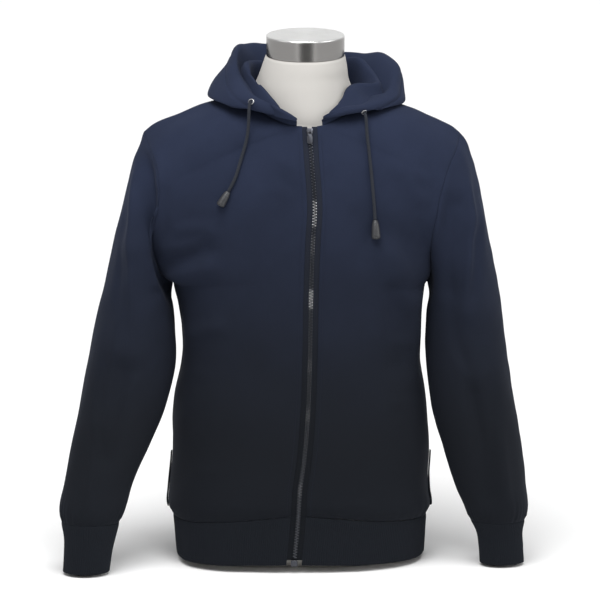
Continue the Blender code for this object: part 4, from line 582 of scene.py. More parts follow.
def panel(inner, outer, squares, share, cells):
    """The rows of a half panel. share is 0 to the underarm and then runs to 1 at the shoulder."""
    rows = []
    for a, b, square, up in zip(inner, outer, squares, share):
        finish = 1 + (square - 1) * (1 - smooth_step(up, *ARMHOLE_SQUARE_FADE))
        top = smooth_step(up, *UPPER_FADE)
        lift = CHEST_LIFT * smooth_step(up, *CHEST_LIFT_IN) * (1 - top)
        high = smooth_step(up, *SHOULDER_RISE_IN)
        bend = square + (2.0 - square) * top
        rows.append(across(a, b, bend, finish, lift, cells, SHOULDER_RISE * high, SHOULDER_TIP_RISE * high))
    return np.array(rows)


def side_edge(side, steps):
    """A side seam from the hem seam, where steps is 0, to the underarm, where it is 1."""
    height = HEM_SEAM_SIDE + (ARMHOLE_FRONT[side]["height"][0] - HEM_SEAM_SIDE) * steps
    half = body("right" if side == RIGHT else "left", height)
    half[-1] = abs(ARMHOLE_FRONT[side]["x"][0])
    return np.stack([side * half, np.full_like(half, SIDE_SEAM_Y), height], axis=1)


def front_edge(side, height):
    """Points of a front's zip edge at these heights."""
    return np.stack([zip_x(height) + side * ZIP_HALF, -body("front", height), height], axis=-1)


def front_neckline(side, cells):
    """The front neckline from the zip edge, whose corner it meets exactly, to the shoulder."""
    corner = front_edge(side, np.float64(NECK_POINT_HEIGHT))
    start = math.degrees(math.atan2(side * (corner[0] - NECK_X), NECK_Y - corner[1]))
    beside_zip = np.linspace(start, HOOD_START[side], cells["corner"] + 1)
    turns = np.concatenate([beside_zip, np.linspace(HOOD_START[side], 90, cells["on_neck"] + 1)[1:]])
    points = neckline(side, turns)
    fade = 1 - smooth_step(turns, turns[0], turns[0] + CORNER_FADE)
    return points + (corner - points[0]) * fade[:, None]


def half_panel(side, cells, in_front):
    """A front, or half of the back, a row at each height from the hem seam to the shoulder seam."""
    steps = np.linspace(0, 1, cells["low"] + 1)
    if in_front:
        low = HEM_SEAM_FRONT + (UNDERARM_LEVEL_MIDDLE - HEM_SEAM_FRONT) * steps
        high = np.linspace(UNDERARM_LEVEL_MIDDLE, NECK_POINT_HEIGHT, cells["neck"] + 1)
        upper = np.concatenate([front_edge(side, high), front_neckline(side, cells)[1:]])
        lower, half_hole = front_edge(side, low), ARMHOLE_FRONT[side]
    else:
        low = HEM_SEAM_BACK + (UNDERARM_LEVEL_MIDDLE - HEM_SEAM_BACK) * steps
        high = np.linspace(UNDERARM_LEVEL_MIDDLE, NAPE_HEIGHT, cells["nape"] + 1)
        round_neck = neckline(side, np.linspace(180, 90, cells["on_nape"] + 1))
        upper = np.concatenate([back_middle(high), round_neck[1:]])
        lower, half_hole = back_middle(low), ARMHOLE_BACK[side]
    share = lengths(upper)
    inner = np.concatenate([lower, upper[1:]])
    outer = np.concatenate([side_edge(side, steps), armhole(half_hole, share)[1:]])
    square = body("square_right" if side == RIGHT else "square_left", inner[:, 2])
    return panel(inner, outer, square, np.concatenate([np.zeros(len(steps)), share[1:]]), cells["across"])


def back_middle(height):
    """The back's middle line at these heights, which moves over to the nape."""
    x = NECK_X * smooth_step(height, NAPE_SHIFT_FROM, NAPE_HEIGHT)
    return np.stack([x, body("back", height), height], axis=-1)


def ring(middle, reach, half_y, turns):
    """A loop from the inner side by the front to the outer side and back: turn 0 is inner and 180 outer."""
    angle = np.radians(turns)[:, None]
    return middle - reach * np.cos(angle) - np.array([0, half_y, 0]) * np.sin(angle)


def sleeve_rings(side, armhole_loop, turns):
    """Rings from the armhole to the wrist. The armhole's own form fades out down the sleeve's first part."""
    steps = np.linspace(0, 1, SLEEVE_ROWS + 1)
    at = {name: through(steps, SLEEVE[side]["along"], column) for name, column in SLEEVE[side].items()}
    outer = np.stack([at["outer_x"], at["middle_y"], at["outer_z"]], axis=1)[:, None]
    inner = np.stack([at["inner_x"], at["middle_y"], at["inner_z"]], axis=1)[:, None]
    angle = np.radians(turns)[None, :, None]
    depth = at["half_y"][:, None, None] * np.array([0, 1, 0])
    rings = (outer + inner) / 2 - (outer - inner) / 2 * np.cos(angle) - depth * np.sin(angle)
    fade = 1 - smooth_step(steps, 0.0, ARMHOLE_FADE)
    return rings + (armhole_loop - rings[0]) * fade[:, None, None]


def cuff_rings(side, turns):
    """Rings of a cuff from the wrist seam down, in which the first is the sleeve's last."""
    steps = np.linspace(0, 1, CUFF_ROWS + 1)
    at = {name: through(steps, CUFF[side]["down"], column) for name, column in CUFF[side].items()}
    wrist = {name: column[-1] for name, column in SLEEVE[side].items()}
    flat = np.zeros_like(steps)
    middle = np.stack([(at["outer_x"] + at["inner_x"]) / 2, at["middle_y"], at["height"]], axis=1)[:, None]
    reach = np.stack([(at["outer_x"] - at["inner_x"]) / 2, flat, flat], axis=1)[:, None]
    angle = np.radians(turns)[None, :, None]
    depth = at["half_y"][:, None, None] * np.array([0, 1, 0])
    rings = middle - reach * np.cos(angle) - depth * np.sin(angle)
    outer = np.array([wrist["outer_x"], wrist["middle_y"], wrist["outer_z"]])
    inner = np.array([wrist["inner_x"], wrist["middle_y"], wrist["inner_z"]])
    first = ring((outer + inner) / 2, (outer - inner) / 2, wrist["half_y"], turns)
    return rings + (first - rings[0]) * (1 - smooth_step(steps, 0.0, WRIST_FADE))[:, None, None]


def band_quarter(seam_row, side, in_front):
    """A quarter of the hem band, from the hem seam's own points down to its edge."""
    middle_x = zip_x(HEM_EDGE_MIDDLE) + side * ZIP_HALF if in_front else 0.0
    depth = -BAND_FRONT if in_front else BAND_BACK
    square = body("square_right" if side == RIGHT else "square_left", HEM_SEAM_FRONT)
    inner = np.array([middle_x, depth, HEM_EDGE_MIDDLE])
    outer = np.array([side * BAND_HALF, SIDE_SEAM_Y, HEM_EDGE_SIDE])
    columns = HEM_RIBS * CELLS_A_RIB
    edge = across(inner, outer, square, square, 0.0, columns)
    start = even(seam_row, columns + 1)
    rows = start + (edge - start) * np.linspace(0, 1, HEM_ROWS + 1)[:, None, None]
    if in_front:
        rows[:, 0, 0] = zip_x(rows[:, 0, 2]) + side * ZIP_HALF
    return rows


def hood_grid(side, seam):
    """A hood half: a column at each point of the neckline seam, its rows from the seam over the roll to the
    open edge, which turns in towards the standing part."""
    parts = HOOD[side]
    columns = []
    for start in seam:
        turn = math.degrees(math.atan2(abs(start[0] - NECK_X), NECK_Y - start[1]))
        radius, height = [math.hypot(start[0] - NECK_X, start[1] - NECK_Y)], [start[2]]
        for knot in ("stand", "pocket", "belly", "roll", "edge"):
            radius.append(float(through(turn, parts["turn"], parts[knot + "_r"])))
            height.append(float(through(turn, parts["turn"], parts[knot + "_z"])))
        share = float(through(turn, HOOD_LIP[side]["turn"], HOOD_LIP[side]["share"]))
        radius.append(radius[5] + share * (radius[1] + LIP_BESIDE - radius[5]))
        height.append(height[5] + share * (height[1] - LIP_BELOW - height[5]))
        knots = np.stack([radius, height], axis=1)
        share = lengths(knots, 0.5)
        profile = knots[:1]
        for start_share, end_share, rows in zip(share[:-1], share[1:], HOOD_ROWS):
            fine = through(np.linspace(start_share, end_share, HOOD_SAMPLES_A_ROW * rows), share, knots)
            profile = np.concatenate([profile, even(fine, rows + 1)[1:]])
        outward = np.array([start[0] - NECK_X, start[1] - NECK_Y]) / radius[0]
        plan = np.array([NECK_X, NECK_Y]) + outward * profile[:, :1]
        columns.append(np.concatenate([plan, profile[:, 1:]], axis=1))
    return np.array(columns).transpose(1, 0, 2)


def quads(index, flip):
    """The cells of a grid of point numbers, turned to face outwards."""
    corners = [index[:-1, :-1], index[:-1, 1:], index[1:, 1:], index[1:, :-1]]
    cells = np.stack(corners, axis=-1).reshape(-1, 4)
    return cells[:, ::-1] if flip else cells


def corner_values(values, flip):
    """A value at each corner of each cell of a grid, in the order of quads."""
    corners = [values[:-1, :-1], values[:-1, 1:], values[1:, 1:], values[1:, :-1]]
    found = np.stack(corners, axis=2).reshape(-1, 4, values.shape[-1])
    return found[:, ::-1] if flip else found


def lay_flat(grid):
    """Metres across and along a grid at each of its points: the running lengths of its rows and columns."""
    u = np.cumsum(np.linalg.norm(np.diff(grid, axis=1, prepend=grid[:, :1]), axis=2), axis=1)
    v = np.cumsum(np.linalg.norm(np.diff(grid, axis=0, prepend=grid[:1]), axis=2), axis=0)
    return np.stack([u, v], axis=-1)


def weld(grids):
    """One set of points for many grids, so that seams share them, and each grid's point numbers in it."""
    points = np.concatenate([grid.reshape(-1, 3) for grid in grids])
    _, first, index = np.unique(np.round(points, 6), axis=0, return_index=True, return_inverse=True)
    index = index.reshape(-1)
    splits = np.cumsum([grid.shape[0] * grid.shape[1] for grid in grids])[:-1]
    numbers = [part.reshape(grid.shape[:2]) for part, grid in zip(np.split(index, splits), grids)]
    return points[first], numbers


def unit(vectors):
    """Each vector at a length of one."""
    return vectors / np.maximum(np.linalg.norm(vectors, axis=-1), 1e-12)[..., None]


def normals_of(points, cells):
    """The mean direction of the cells round each point."""
    one, two = points[cells[:, 2]] - points[cells[:, 0]], points[cells[:, 3]] - points[cells[:, 1]]
    facing = np.repeat(unit(np.cross(one, two)), 4, axis=0)
    total = np.zeros_like(points)
    np.add.at(total, cells.reshape(-1), facing)
    return unit(total)


def stroke_field(view, start, bend, end, width):
    """How near points of a view lie to a stroke bent through three points: the bell curve
    exp(-(d / width)^2) of the distance d, faded softly at both of the stroke's ends."""
    t = np.linspace(0, 1, STROKE_STEPS + 1)[:, None]
    line = start * (1 - t) ** 2 + 2 * (2 * bend - (start + end) / 2) * t * (1 - t) + end * t**2
    nearest, along = np.full(len(view), np.inf), np.zeros(len(view))
    for k, (a, b) in enumerate(zip(line[:-1], line[1:])):
        share = np.clip((view - a) @ (b - a) / ((b - a) @ (b - a)), 0, 1)
        distance = np.linalg.norm(view - a - share[:, None] * (b - a), axis=1)
        closer = distance < nearest
        nearest = np.where(closer, distance, nearest)
        along = np.where(closer, (k + share) / STROKE_STEPS, along)
    taper = smooth_step(along, *STROKE_FADE_IN) * (1 - smooth_step(along, *STROKE_FADE_OUT))
    return np.exp(-((nearest / width) ** 2)) * taper


def ripples(points, wave, height, seed):
    """Soft uneven waves: the mean of sines along seeded random directions, with lengths round wave."""
    dice = np.random.RandomState(seed)
    total = np.zeros(len(points))
    for _ in range(RIPPLE_SINES):
        way = unit(dice.normal(size=3))
        own_wave = wave * dice.uniform(*RIPPLE_SPREAD)
        total += np.sin(points @ way * (2 * np.pi / own_wave) + dice.uniform(0, RIPPLE_PHASE))
    return height * total / RIPPLE_SINES


def creased(points, normals):
    """The points with the folds, the creases and the cloth's soft waves raised on them along their normals.
    All of them fade at the zip."""
    moves = np.zeros(len(points))
    view = points[:, [0, 2]]
    for face, x0, z0, x1, z1, width, height in zip(*FOLDS.values()):
        start, end = np.array([x0, z0]), np.array([x1, z1])
        share = (view - start) @ (end - start) / ((end - start) @ (end - start))
        nearest = start + np.clip(share, 0, 1)[:, None] * (end - start)
        distance = np.linalg.norm(view - nearest, axis=1)
        facing = smooth_step(face * normals[:, 1], *FOLDS_FACING)
        moves += height * np.exp(-((distance / width) ** 2)) * facing
    from_zip = np.abs(points[:, 0] - zip_x(points[:, 2]))
    in_front = points[:, 1] < 0
    moves *= np.where(in_front, smooth_step(from_zip, *FOLDS_FADE_IN), 1)
    for face, x0, z0, xm, zm, x1, z1, width, height in zip(*CREASES.values()):
        start, bend, end = np.array([x0, z0]), np.array([xm, zm]), np.array([x1, z1])
        facing = smooth_step(face * normals[:, 1], *CREASES_FACING)
        moves += height * stroke_field(view, start, bend, end, width) * facing
    clear = np.where(in_front, smooth_step(from_zip, *CREASES_FADE_IN), 1)
    waves = ripples(points * np.array([1, 1, 0.7]), *BROAD_RIPPLES) + ripples(points, *FINE_RIPPLES)
    left = RIPPLES_BY_ZIP + (1 - RIPPLES_BY_ZIP) * clear
    return points + normals * (moves * clear + waves * left)[:, None]


def shell(points, normals, cells, corner_uv, thickness, edge_round):
    """A closed wall: outer cells, inner ones a thickness behind them, and between them at each open edge a
    rounded rim, a half ellipse with the thickness as one axis. Returns points, four-cornered faces and their
    corners' metres on the cloth."""
    used, index = np.unique(cells, return_inverse=True)
    cells = index.reshape(cells.shape)
    outer, normal, count = points[used].copy(), normals[used], len(used)
    start, end = cells, np.roll(cells, -1, axis=1)
    open_edge = (start != end) & ~np.isin(start * count + end, end * count + start)
    a, b = start[open_edge], end[open_edge]
    uv_a, uv_b = corner_uv[open_edge], np.roll(corner_uv, -1, axis=1)[open_edge]
    inward, ways = np.zeros_like(outer), np.zeros(count)
    for point in (a, b):
        np.add.at(inward, point, unit(np.cross(normal[point], outer[b] - outer[a])))
        np.add.at(ways, point, 1.0)
    inward *= (ways / np.maximum((inward**2).sum(axis=1), 1.0))[:, None]
    outer += inward * SEAM_CRACK / 2
    rim = np.unique(a)
    place = np.zeros(count, int)
    place[rim] = np.arange(len(rim))
    rings = []
    for turn in RIM_TURNS:
        ahead, down = edge_round * (1 - math.sin(turn)), thickness / 2 * (1 - math.cos(turn))
        rings.append(outer[rim] + inward[rim] * ahead - normal[rim] * down)
    outer += inward * edge_round
    inner = outer - normal * thickness
    every = np.concatenate([outer, inner, *rings])
    faces, uvs = [cells, cells[:, ::-1] + count], [corner_uv, corner_uv[:, ::-1]]
    levels_a = [a] + [2 * count + k * len(rim) + place[a] for k in range(len(rings))] + [a + count]
    levels_b = [b] + [2 * count + k * len(rim) + place[b] for k in range(len(rings))] + [b + count]
    for k in range(len(levels_a) - 1):
        faces.append(np.stack([levels_b[k], levels_a[k], levels_a[k + 1], levels_b[k + 1]], axis=1))
        uvs.append(np.stack([uv_b, uv_a, uv_a, uv_b], axis=1))
    return every, np.concatenate(faces), np.concatenate(uvs)


def cloth_pieces():
    """Each fleece piece's outer grids, with whether its cells are to be flipped and which of its first row,
    last row, first column and last column are seams."""
    fronts = {side: half_panel(side, CLOTH_CELLS, True) for side, _ in SIDES}
    backs = {side: half_panel(side, CLOTH_CELLS, False) for side, _ in SIDES}
    first = CLOTH_CELLS["low"]
    neck, nape = first + CLOTH_CELLS["neck"] + CLOTH_CELLS["corner"], first + CLOTH_CELLS["nape"]
    pieces = {}
    for side, name in SIDES:
        front_loop, back_loop = fronts[side][first:, -1], backs[side][first:, -1]
        loop = np.concatenate([front_loop, back_loop[::-1][1:]])
        turns = np.concatenate([180 * lengths(front_loop), 360 - 180 * lengths(back_loop)[::-1][1:]])
        rings = sleeve_rings(side, loop, turns)
        rings[0] = loop
        rings[:, -1] = rings[:, 0]
        seam = np.concatenate([fronts[side][neck:, 0], backs[side][nape:, 0][::-1][1:]])
        pieces["front_" + name] = [(fronts[side], side == RIGHT, (True, True, False, True))]
        pieces["sleeve_" + name] = [(rings, side == LEFT, (True, True, False, False))]
        pieces["hood_" + name] = [(hood_grid(side, seam), side == RIGHT, (True, False, False, True))]
    pieces["back"] = [
        (backs[RIGHT], False, (True, True, False, True)), (backs[LEFT], True, (True, True, False, True))
    ]
    return pieces, fronts, backs


def cuff_piece(side):
    """A cuff's grid, with its flip and its seams."""
    turns = np.linspace(0, 360, CUFF_RIBS * CELLS_A_RIB + 1)
    rings = cuff_rings(side, turns)
    rings[:, -1] = rings[:, 0]
    return [(rings, side == LEFT, (True, False, False, False))]


def hem_pieces(fronts, backs):
    """The grids of the hem band's quarters, with their flips and their seams."""
    seams = (True, False, False, False)
    found = []
    for side, _ in SIDES:
        found.append((band_quarter(fronts[side][0], side, True), side == LEFT, seams))
        found.append((band_quarter(backs[side][0], side, False), side == RIGHT, seams))
    return found


def seam_distance(grid, seams):
    """How far each point lies from those edges of its grid that are seams."""
    flat = lay_flat(grid)
    u, v = flat[..., 0], flat[..., 1]
    far = np.stack([v, v[-1:] - v, u, u[:, -1:] - u], axis=-1)
    return np.where(seams, far, np.inf).min(axis=-1)


def gathers(start, counts, seed):
    """Small puckers that run out from the first row of a grid and soon fade: the mean of sines with whole
    counts of waves along the row, whose heights wander."""
    flat = lay_flat(start)
    from_row, along = flat[..., 1], flat[..., 0] / flat[:, -1:, 0]
    dice = np.random.RandomState(seed)
    waves = sum(np.sin(2 * np.pi * (count * along + dice.uniform(0, 1))) for count in counts) / len(counts)
    wander = 0.65 + 0.35 * np.sin(2 * np.pi * (3 * along + dice.uniform(0, 1)))
    reach = GATHER_REACH * (0.75 + 0.25 * np.sin(2 * np.pi * (5 * along + dice.uniform(0, 1))))
    height = GATHER_HEIGHT * waves * wander * smooth_step(from_row, 0.0, GATHER_START)
    return height * np.exp(-((from_row / reach) ** 2))


def drape(name, grid, seams):
    """What a fleece piece has beside its folds: gathers above the hem and the cuffs, and on the hood the
    swell of the drawcord's channel, the dip of its stitches and a few soft waves."""
    kind = name.partition("_")[0]
    if kind == "hood":
        up = lay_flat(grid)[..., 1]
        crest = up[HOOD_CREST_ROW]
        before = crest - up
        size = smooth_step(crest, 0.02, 0.06)
        swell = CHANNEL_SWELL * np.exp(-(((before - CHANNEL_MIDDLE) / CHANNEL_HALF) ** 2))
        dip = CHANNEL_DIP * np.exp(-(((before - HOOD_CHANNEL) / CHANNEL_DIP_HALF) ** 2))
        waves = ripples(grid.reshape(-1, 3) * np.array([1, 1, 0.6]), *HOOD_RIPPLES).reshape(up.shape)
        return (swell - dip + waves) * size * smooth_step(up, 0.004, 0.03)
    if kind == "sleeve":
        return gathers(grid[::-1], CUFF_GATHERS, 5 if name.endswith("left") else 6)[::-1]
    beside = smooth_step(seam_distance(grid, (False, False, True, True)), 0.004, 0.02)
    return gathers(grid, HEM_GATHERS, len(name)) * beside


def ribs(name, grid, seams):
    """The relief of a rib knit whose wales run along the columns: a ridge on each rib's cells, round as the
    root of a sine, which sinks at the seam."""
    phase = np.arange(grid.shape[1]) / CELLS_A_RIB % 1
    ridge = np.sqrt(np.sin(np.pi * phase)) - RIB_MEAN
    return RIB_RELIEF * ridge[None] * smooth_step(seam_distance(grid, seams), 0.0, 0.004)


def sew(pieces, relief):
    """Raises the folds, creases, seams and each grid's own relief on pieces that share the points of their
    seams. A seam is a dip that falls off as the bell curve exp(-(d / SEAM_HALF)^2) of the distance d from it.
    Returns each piece's own cells, metres on the cloth, points and normals."""
    parts = [(name, *part) for name, own in pieces.items() for part in own]
    points, numbers = weld([grid for _, grid, _, _ in parts])
    cells = [quads(index, flip) for index, (_, _, flip, _) in zip(numbers, parts)]
    every = np.concatenate(cells)
    normals = normals_of(points, every)
    from_seam, raised = np.full(len(points), np.inf), np.zeros(len(points))
    for index, (name, grid, _, seams) in zip(numbers, parts):
        np.minimum.at(from_seam, index.ravel(), seam_distance(grid, seams).ravel())
        raised[index] = relief(name, grid, seams)
    points = creased(points, normals)
    raised -= SEAM_DIP * np.exp(-((from_seam / SEAM_HALF) ** 2))
    points = points + normals * raised[:, None]
    normals = normals_of(points, every)
    sewn = {}
    for name in pieces:
        own = [i for i, part in enumerate(parts) if part[0] == name]
        metres = [lay_flat(parts[i][1]) for i in own]
        sewn[name] = {
            "points": points, "normals": normals,
            "cells": np.concatenate([cells[i] for i in own]),
            "corner_uv": np.concatenate([corner_values(m, parts[i][2]) for m, i in zip(metres, own)]),
            "grids": [points[numbers[i]] for i in own],
            "facing": [normals[numbers[i]] for i in own],
            "metres": metres,
        }
    return sewn


def put_mesh(name, points, faces, corner_uv=None, sharp=None):
    """A smooth mesh object from whole arrays. A face's corner that repeats the next one is left out."""
    keep = faces != np.roll(faces, -1, axis=1)
    sizes = keep.sum(axis=1)
    keep &= (sizes > 2)[:, None]
    sizes = sizes[sizes > 2]
    mesh = bpy.data.meshes.new(name)
    mesh.vertices.add(len(points))
    mesh.vertices.foreach_set("co", np.ascontiguousarray(points, np.float32).ravel())
    mesh.loops.add(int(sizes.sum()))
    mesh.loops.foreach_set("vertex_index", faces[keep].astype(np.int32))
    mesh.polygons.add(len(sizes))
    mesh.polygons.foreach_set("loop_start", np.concatenate([[0], np.cumsum(sizes)[:-1]]).astype(np.int32))
    mesh.update(calc_edges=True)
    if corner_uv is not None:
        layer = mesh.uv_layers.new(name="metres")
        layer.uv.foreach_set("vector", corner_uv[keep].astype(np.float32).ravel())
    mesh.shade_smooth()
    if sharp is not None:
        mesh.set_sharp_from_angle(angle=math.radians(sharp))
    made = bpy.data.objects.new(name, mesh)
    bpy.context.scene.collection.objects.link(made)
    return made


def finish_piece(made, finish, node, body_name="hoodie"):
    """Gives a piece its material and its body, and hides the CAD node that it stands for."""
    made.data.materials.clear()
    made.data.materials.append(finish)
    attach(made, body_name)
    if node:
        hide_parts(node)
    return made


def make_cloth(name, piece, thickness, finish, node):
    """A cloth piece: its shell and its finish, with the CAD node that it stands for hidden."""
    surface = (piece[part] for part in ("points", "normals", "cells", "corner_uv"))
    made = put_mesh(name, *shell(*surface, thickness, EDGE_ROUND))
    finish_piece(made, finish, node)


def zip_line(heights):
    """The zip's middle on the cloth's face at these heights, and the way outwards from it. On the hem band
    it runs straight from the hem seam to the edge."""
    drop = np.clip((HEM_SEAM_FRONT - heights) / (HEM_SEAM_FRONT - HEM_EDGE_MIDDLE), 0, 1)
    seam = body("front", HEM_SEAM_FRONT)
    depth = np.where(drop > 0, seam + (BAND_FRONT - seam) * drop, body("front", heights))
    line = np.stack([zip_x(heights), -depth, heights], axis=-1)
    slope = np.gradient(line, axis=0)
    out = unit(np.stack([np.zeros(len(slope)), -slope[:, 2], slope[:, 1]], axis=1))
    return line, out


def tube_faces(rings, around):
    """The four-cornered faces between closed rings that have the same number of points."""
    index = np.arange(rings * around).reshape(rings, around)
    turned = np.roll(index, -1, axis=1)
    return np.stack([index[:-1], turned[:-1], turned[1:], index[1:]], axis=-1).reshape(-1, 4)


def closed_tube(rings):
    """Points, faces and corner metres of a solid through closed rings. Each end closes on its ring's
    middle."""
    ends = [np.repeat(rings[k].mean(axis=0)[None], rings.shape[1], axis=0)[None] for k in (0, -1)]
    rings = np.concatenate([ends[0], rings, ends[1]])
    count, around = rings.shape[:2]
    faces = tube_faces(count, around)
    faces = np.where(faces < around, 0, faces)
    last = (count - 1) * around
    faces = np.where(faces >= last, last, faces)
    wide = np.concatenate([rings, rings[:, :1]], axis=1)
    return rings.reshape(-1, 3), faces, corner_values(lay_flat(wide), False)


def turn_out(made):
    """Merges a closed mesh's doubles and turns its faces outwards."""
    shape = bmesh.new()
    shape.from_mesh(made.data)
    bmesh.ops.remove_doubles(shape, verts=shape.verts, dist=1e-6)
    bmesh.ops.recalc_face_normals(shape, faces=shape.faces)
    loose = [point for point in shape.verts if not point.link_faces]
    bmesh.ops.delete(shape, geom=loose, context="VERTS")
    shape.to_mesh(made.data)
    shape.free()
    made.data.shade_smooth()
    return made


def make_tapes(finish):
    """The woven zip tapes: a flat section with two raised lines, a cord beside the teeth and the selvedge,
    carried along the zip's line."""
    line, out = zip_line(np.arange(CHAIN_FOOT, NECK_POINT_HEIGHT - TAPE_END_GAP, TAPE_STEP))
    share = np.linspace(0, 1, TAPE_COLUMNS)
    bead = sum(height * np.exp(-(((share - at) / half) ** 2)) for at, half, height in TAPE_BEADS)
    face = -TAPE_RECESS + bead - TAPE_EDGE_DROP * (share > 0.99)
    section_out = np.concatenate([face, np.full(TAPE_COLUMNS, -TAPE_RECESS - TAPE_THICK)])
    for side, name in SIDES:
        section_x = side * (TAPE_INNER + (TAPE_OUTER - TAPE_INNER) * np.concatenate([share, share[::-1]]))
        rings = (
            line[:, None] + section_x[None, :, None] * SIDEWAYS + section_out[None, :, None] * out[:, None]
        )
        made = turn_out(put_mesh("zip_tape_" + name + "_woven", *closed_tube(rings)))
        finish_piece(made, finish, "zip_tape_" + name)


def make_teeth(finish):
    """The chain: one tooth's outline, narrow at its head and bevelled in four levels, set by arrays at each
    pitch and turned to the other tape at every second place. A thin core runs behind the heads."""
    tooth = np.array([
        [(x * size, out, along * size) for x, along in TOOTH_OUTLINE] for out, size in TOOTH_LEVELS
    ])
    heights = np.arange(CHAIN_FOOT + FIRST_TOOTH, CHAIN_TOP, TOOTH_PITCH)
    line, out = zip_line(heights)
    up = unit(np.gradient(line, axis=0) * np.array([0, 1, 1]))
    flank = np.where(np.arange(len(heights)) % 2 == 0, 1.0, -1.0)[:, None, None]
    points = (
        line[:, None, None] + (flank * tooth[..., 0])[..., None] * SIDEWAYS
        + tooth[..., 1:2] * out[:, None, None] + tooth[..., 2:] * up[:, None, None]
    )
    levels, around = tooth.shape[:2]
    count = levels * around
    caps = np.array([[0, 1, 4, 5], [1, 2, 3, 4]])
    faces = np.concatenate([tube_faces(levels, around), caps[:, ::-1], caps + count - around])
    every = faces + (np.arange(len(heights)) * count)[:, None, None]
    every = np.where(flank > 0, every, every[..., ::-1])
    made = put_mesh("zip_chain", points.reshape(-1, 3), every.reshape(-1, 4), sharp=40)
    line, out = zip_line(np.arange(CHAIN_FOOT, CHAIN_TOP, TAPE_STEP))
    angle = np.linspace(0, 2 * np.pi, CORE_SIDES + 1)[:-1]
    rings = (
        line[:, None] + (CORE_HALF * np.cos(angle))[None, :, None] * SIDEWAYS
        + (CORE_DEEP * np.sin(angle) - CORE_SUNK)[None, :, None] * out[:, None]
    )
    core = turn_out(put_mesh("zip_chain_core", *closed_tube(rings)))
    finish_piece(made, finish["teeth"], "zip_teeth")
    finish_piece(core, finish["tape"], None)


def node_copy(node, name, width):
    """A merged copy of a CAD node's mesh, with a small bevel on its edges."""
    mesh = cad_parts[node].data.copy()
    mesh.name = name
    made = bpy.data.objects.new(name, mesh)
    bpy.context.scene.collection.objects.link(made)
    shape = bmesh.new()
    shape.from_mesh(mesh)
    bmesh.ops.remove_doubles(shape, verts=shape.verts, dist=1e-5)
    bmesh.ops.dissolve_limit(shape, angle_limit=math.radians(2), verts=shape.verts, edges=shape.edges)
    shape.to_mesh(mesh)
    shape.free()
    mesh.shade_smooth()
    bevel = made.modifiers.new("edges", "BEVEL")
    bevel.width = width
    bevel.segments = 3
    bevel.limit_method = "ANGLE"
    bevel.angle_limit = math.radians(30)
    bevel.harden_normals = True
    return made


def make_zip(finish):
    """The tapes, the teeth, and finer copies of the slider, the box and the pull tab."""
    make_tapes(finish["tape"])
    make_teeth(finish)
    metal = finish["gunmetal"]
    finish_piece(node_copy("zip_slider", "slider_body", SLIDER_BEVEL), metal, "zip_slider")
    finish_piece(node_copy("zip_box", "zip_foot_box", BOX_BEVEL), metal, "zip_box")
    pull = node_copy("zip_pull", "slider_pull_tab", PULL_BEVEL)
    finish_piece(pull, metal, "zip_pull", "pull_tab")


def carried_frames(route):
    """Two ways across a route at each of its points, turned as little as can be from one to the next."""
    along = unit(np.gradient(route, axis=0))
    first = np.empty_like(along)
    first[0] = unit(np.cross(along[0], [0.0, 1.0, 0.3]))
    for k in range(1, len(along)):
        first[k] = unit(first[k - 1] - along[k] * (first[k - 1] @ along[k]))
    return first, np.cross(along, first)


def cord_route(side):
    """A cord's smooth route, with a point for each of its rings."""
    route = np.array(CORDS[side])
    return even(through(np.linspace(0, 1, 400), lengths(route), route), CORD_RINGS)


def make_cord(side, name, finish, tip_finish):
    """A drawcord: circles along its route, on which two sets of strands wind against each other. With n
    strands in a set the relief is the greater of cos(na + t) and cos(na - t), where a is the angle and t the
    turn along it."""
    route = cord_route(side)
    steps = np.linalg.norm(np.diff(route, axis=0), axis=1)
    along = np.concatenate([[0.0], np.cumsum(steps)])
    angle = np.linspace(0, 2 * np.pi, CORD_SIDES + 1)[:-1]
    turn = along[:, None] * (2 * np.pi / STRAND_PITCH)
    strands = np.maximum(np.cos(STRANDS * angle + turn), np.cos(STRANDS * angle - turn))
    radius = CORD_RADIUS - STRAND_RELIEF * (1 - strands)
    first, second = carried_frames(route)
    rings = route[:, None] + radius[..., None] * (
        np.cos(angle)[None, :, None] * first[:, None] + np.sin(angle)[None, :, None] * second[:, None]
    )
    made = turn_out(put_mesh("drawcord_" + name + "_braid", *closed_tube(rings)))
    finish_piece(made, finish, "drawcord_" + name)
    tip = make_tip(side, name, tip_finish)


def make_tip(side, name, finish):
    """A moulded bell end: the table's circles along its middle line, with ridges round it, a rim at the mouth
    and a hollow in it."""
    knots = np.stack([TIPS[side][part] for part in ("x", "y", "z", "radius")], axis=1)
    place = np.linspace(0, 1, TIP_RINGS)
    fine = through(place, lengths(knots[:, :3]), knots)
    middle, radius = fine[:, :3], fine[:, 3].copy()
    way = unit(middle[-1] - middle[0])
    length = np.linalg.norm(middle[-1] - middle[0])
    for ridge in TIP_RIDGES:
        radius += TIP_RIDGE_HEIGHT * np.exp(-(((place - ridge) / TIP_RIDGE_HALF) ** 2))
    radius[0] *= TIP_START
    straight_on = middle[-1:] + way * np.arange(1, len(TIP_MOUTH) + 1)[:, None]
    first, second = carried_frames(np.concatenate([middle, straight_on]))
    middle = np.concatenate([middle, [middle[-1] + way * length * back for back, _ in TIP_MOUTH]])
    radius = np.concatenate([radius, [radius[-1] * size for _, size in TIP_MOUTH]])
    angle = np.linspace(0, 2 * np.pi, TIP_SIDES + 1)[:-1]
    rings = middle[:, None] + radius[:, None, None] * (
        np.cos(angle)[None, :, None] * first[:, None] + np.sin(angle)[None, :, None] * second[:, None]
    )
    made = turn_out(put_mesh("cord_tip_" + name + "_bell", *closed_tube(rings)))
    return finish_piece(made, finish, "cord_tip_" + name)


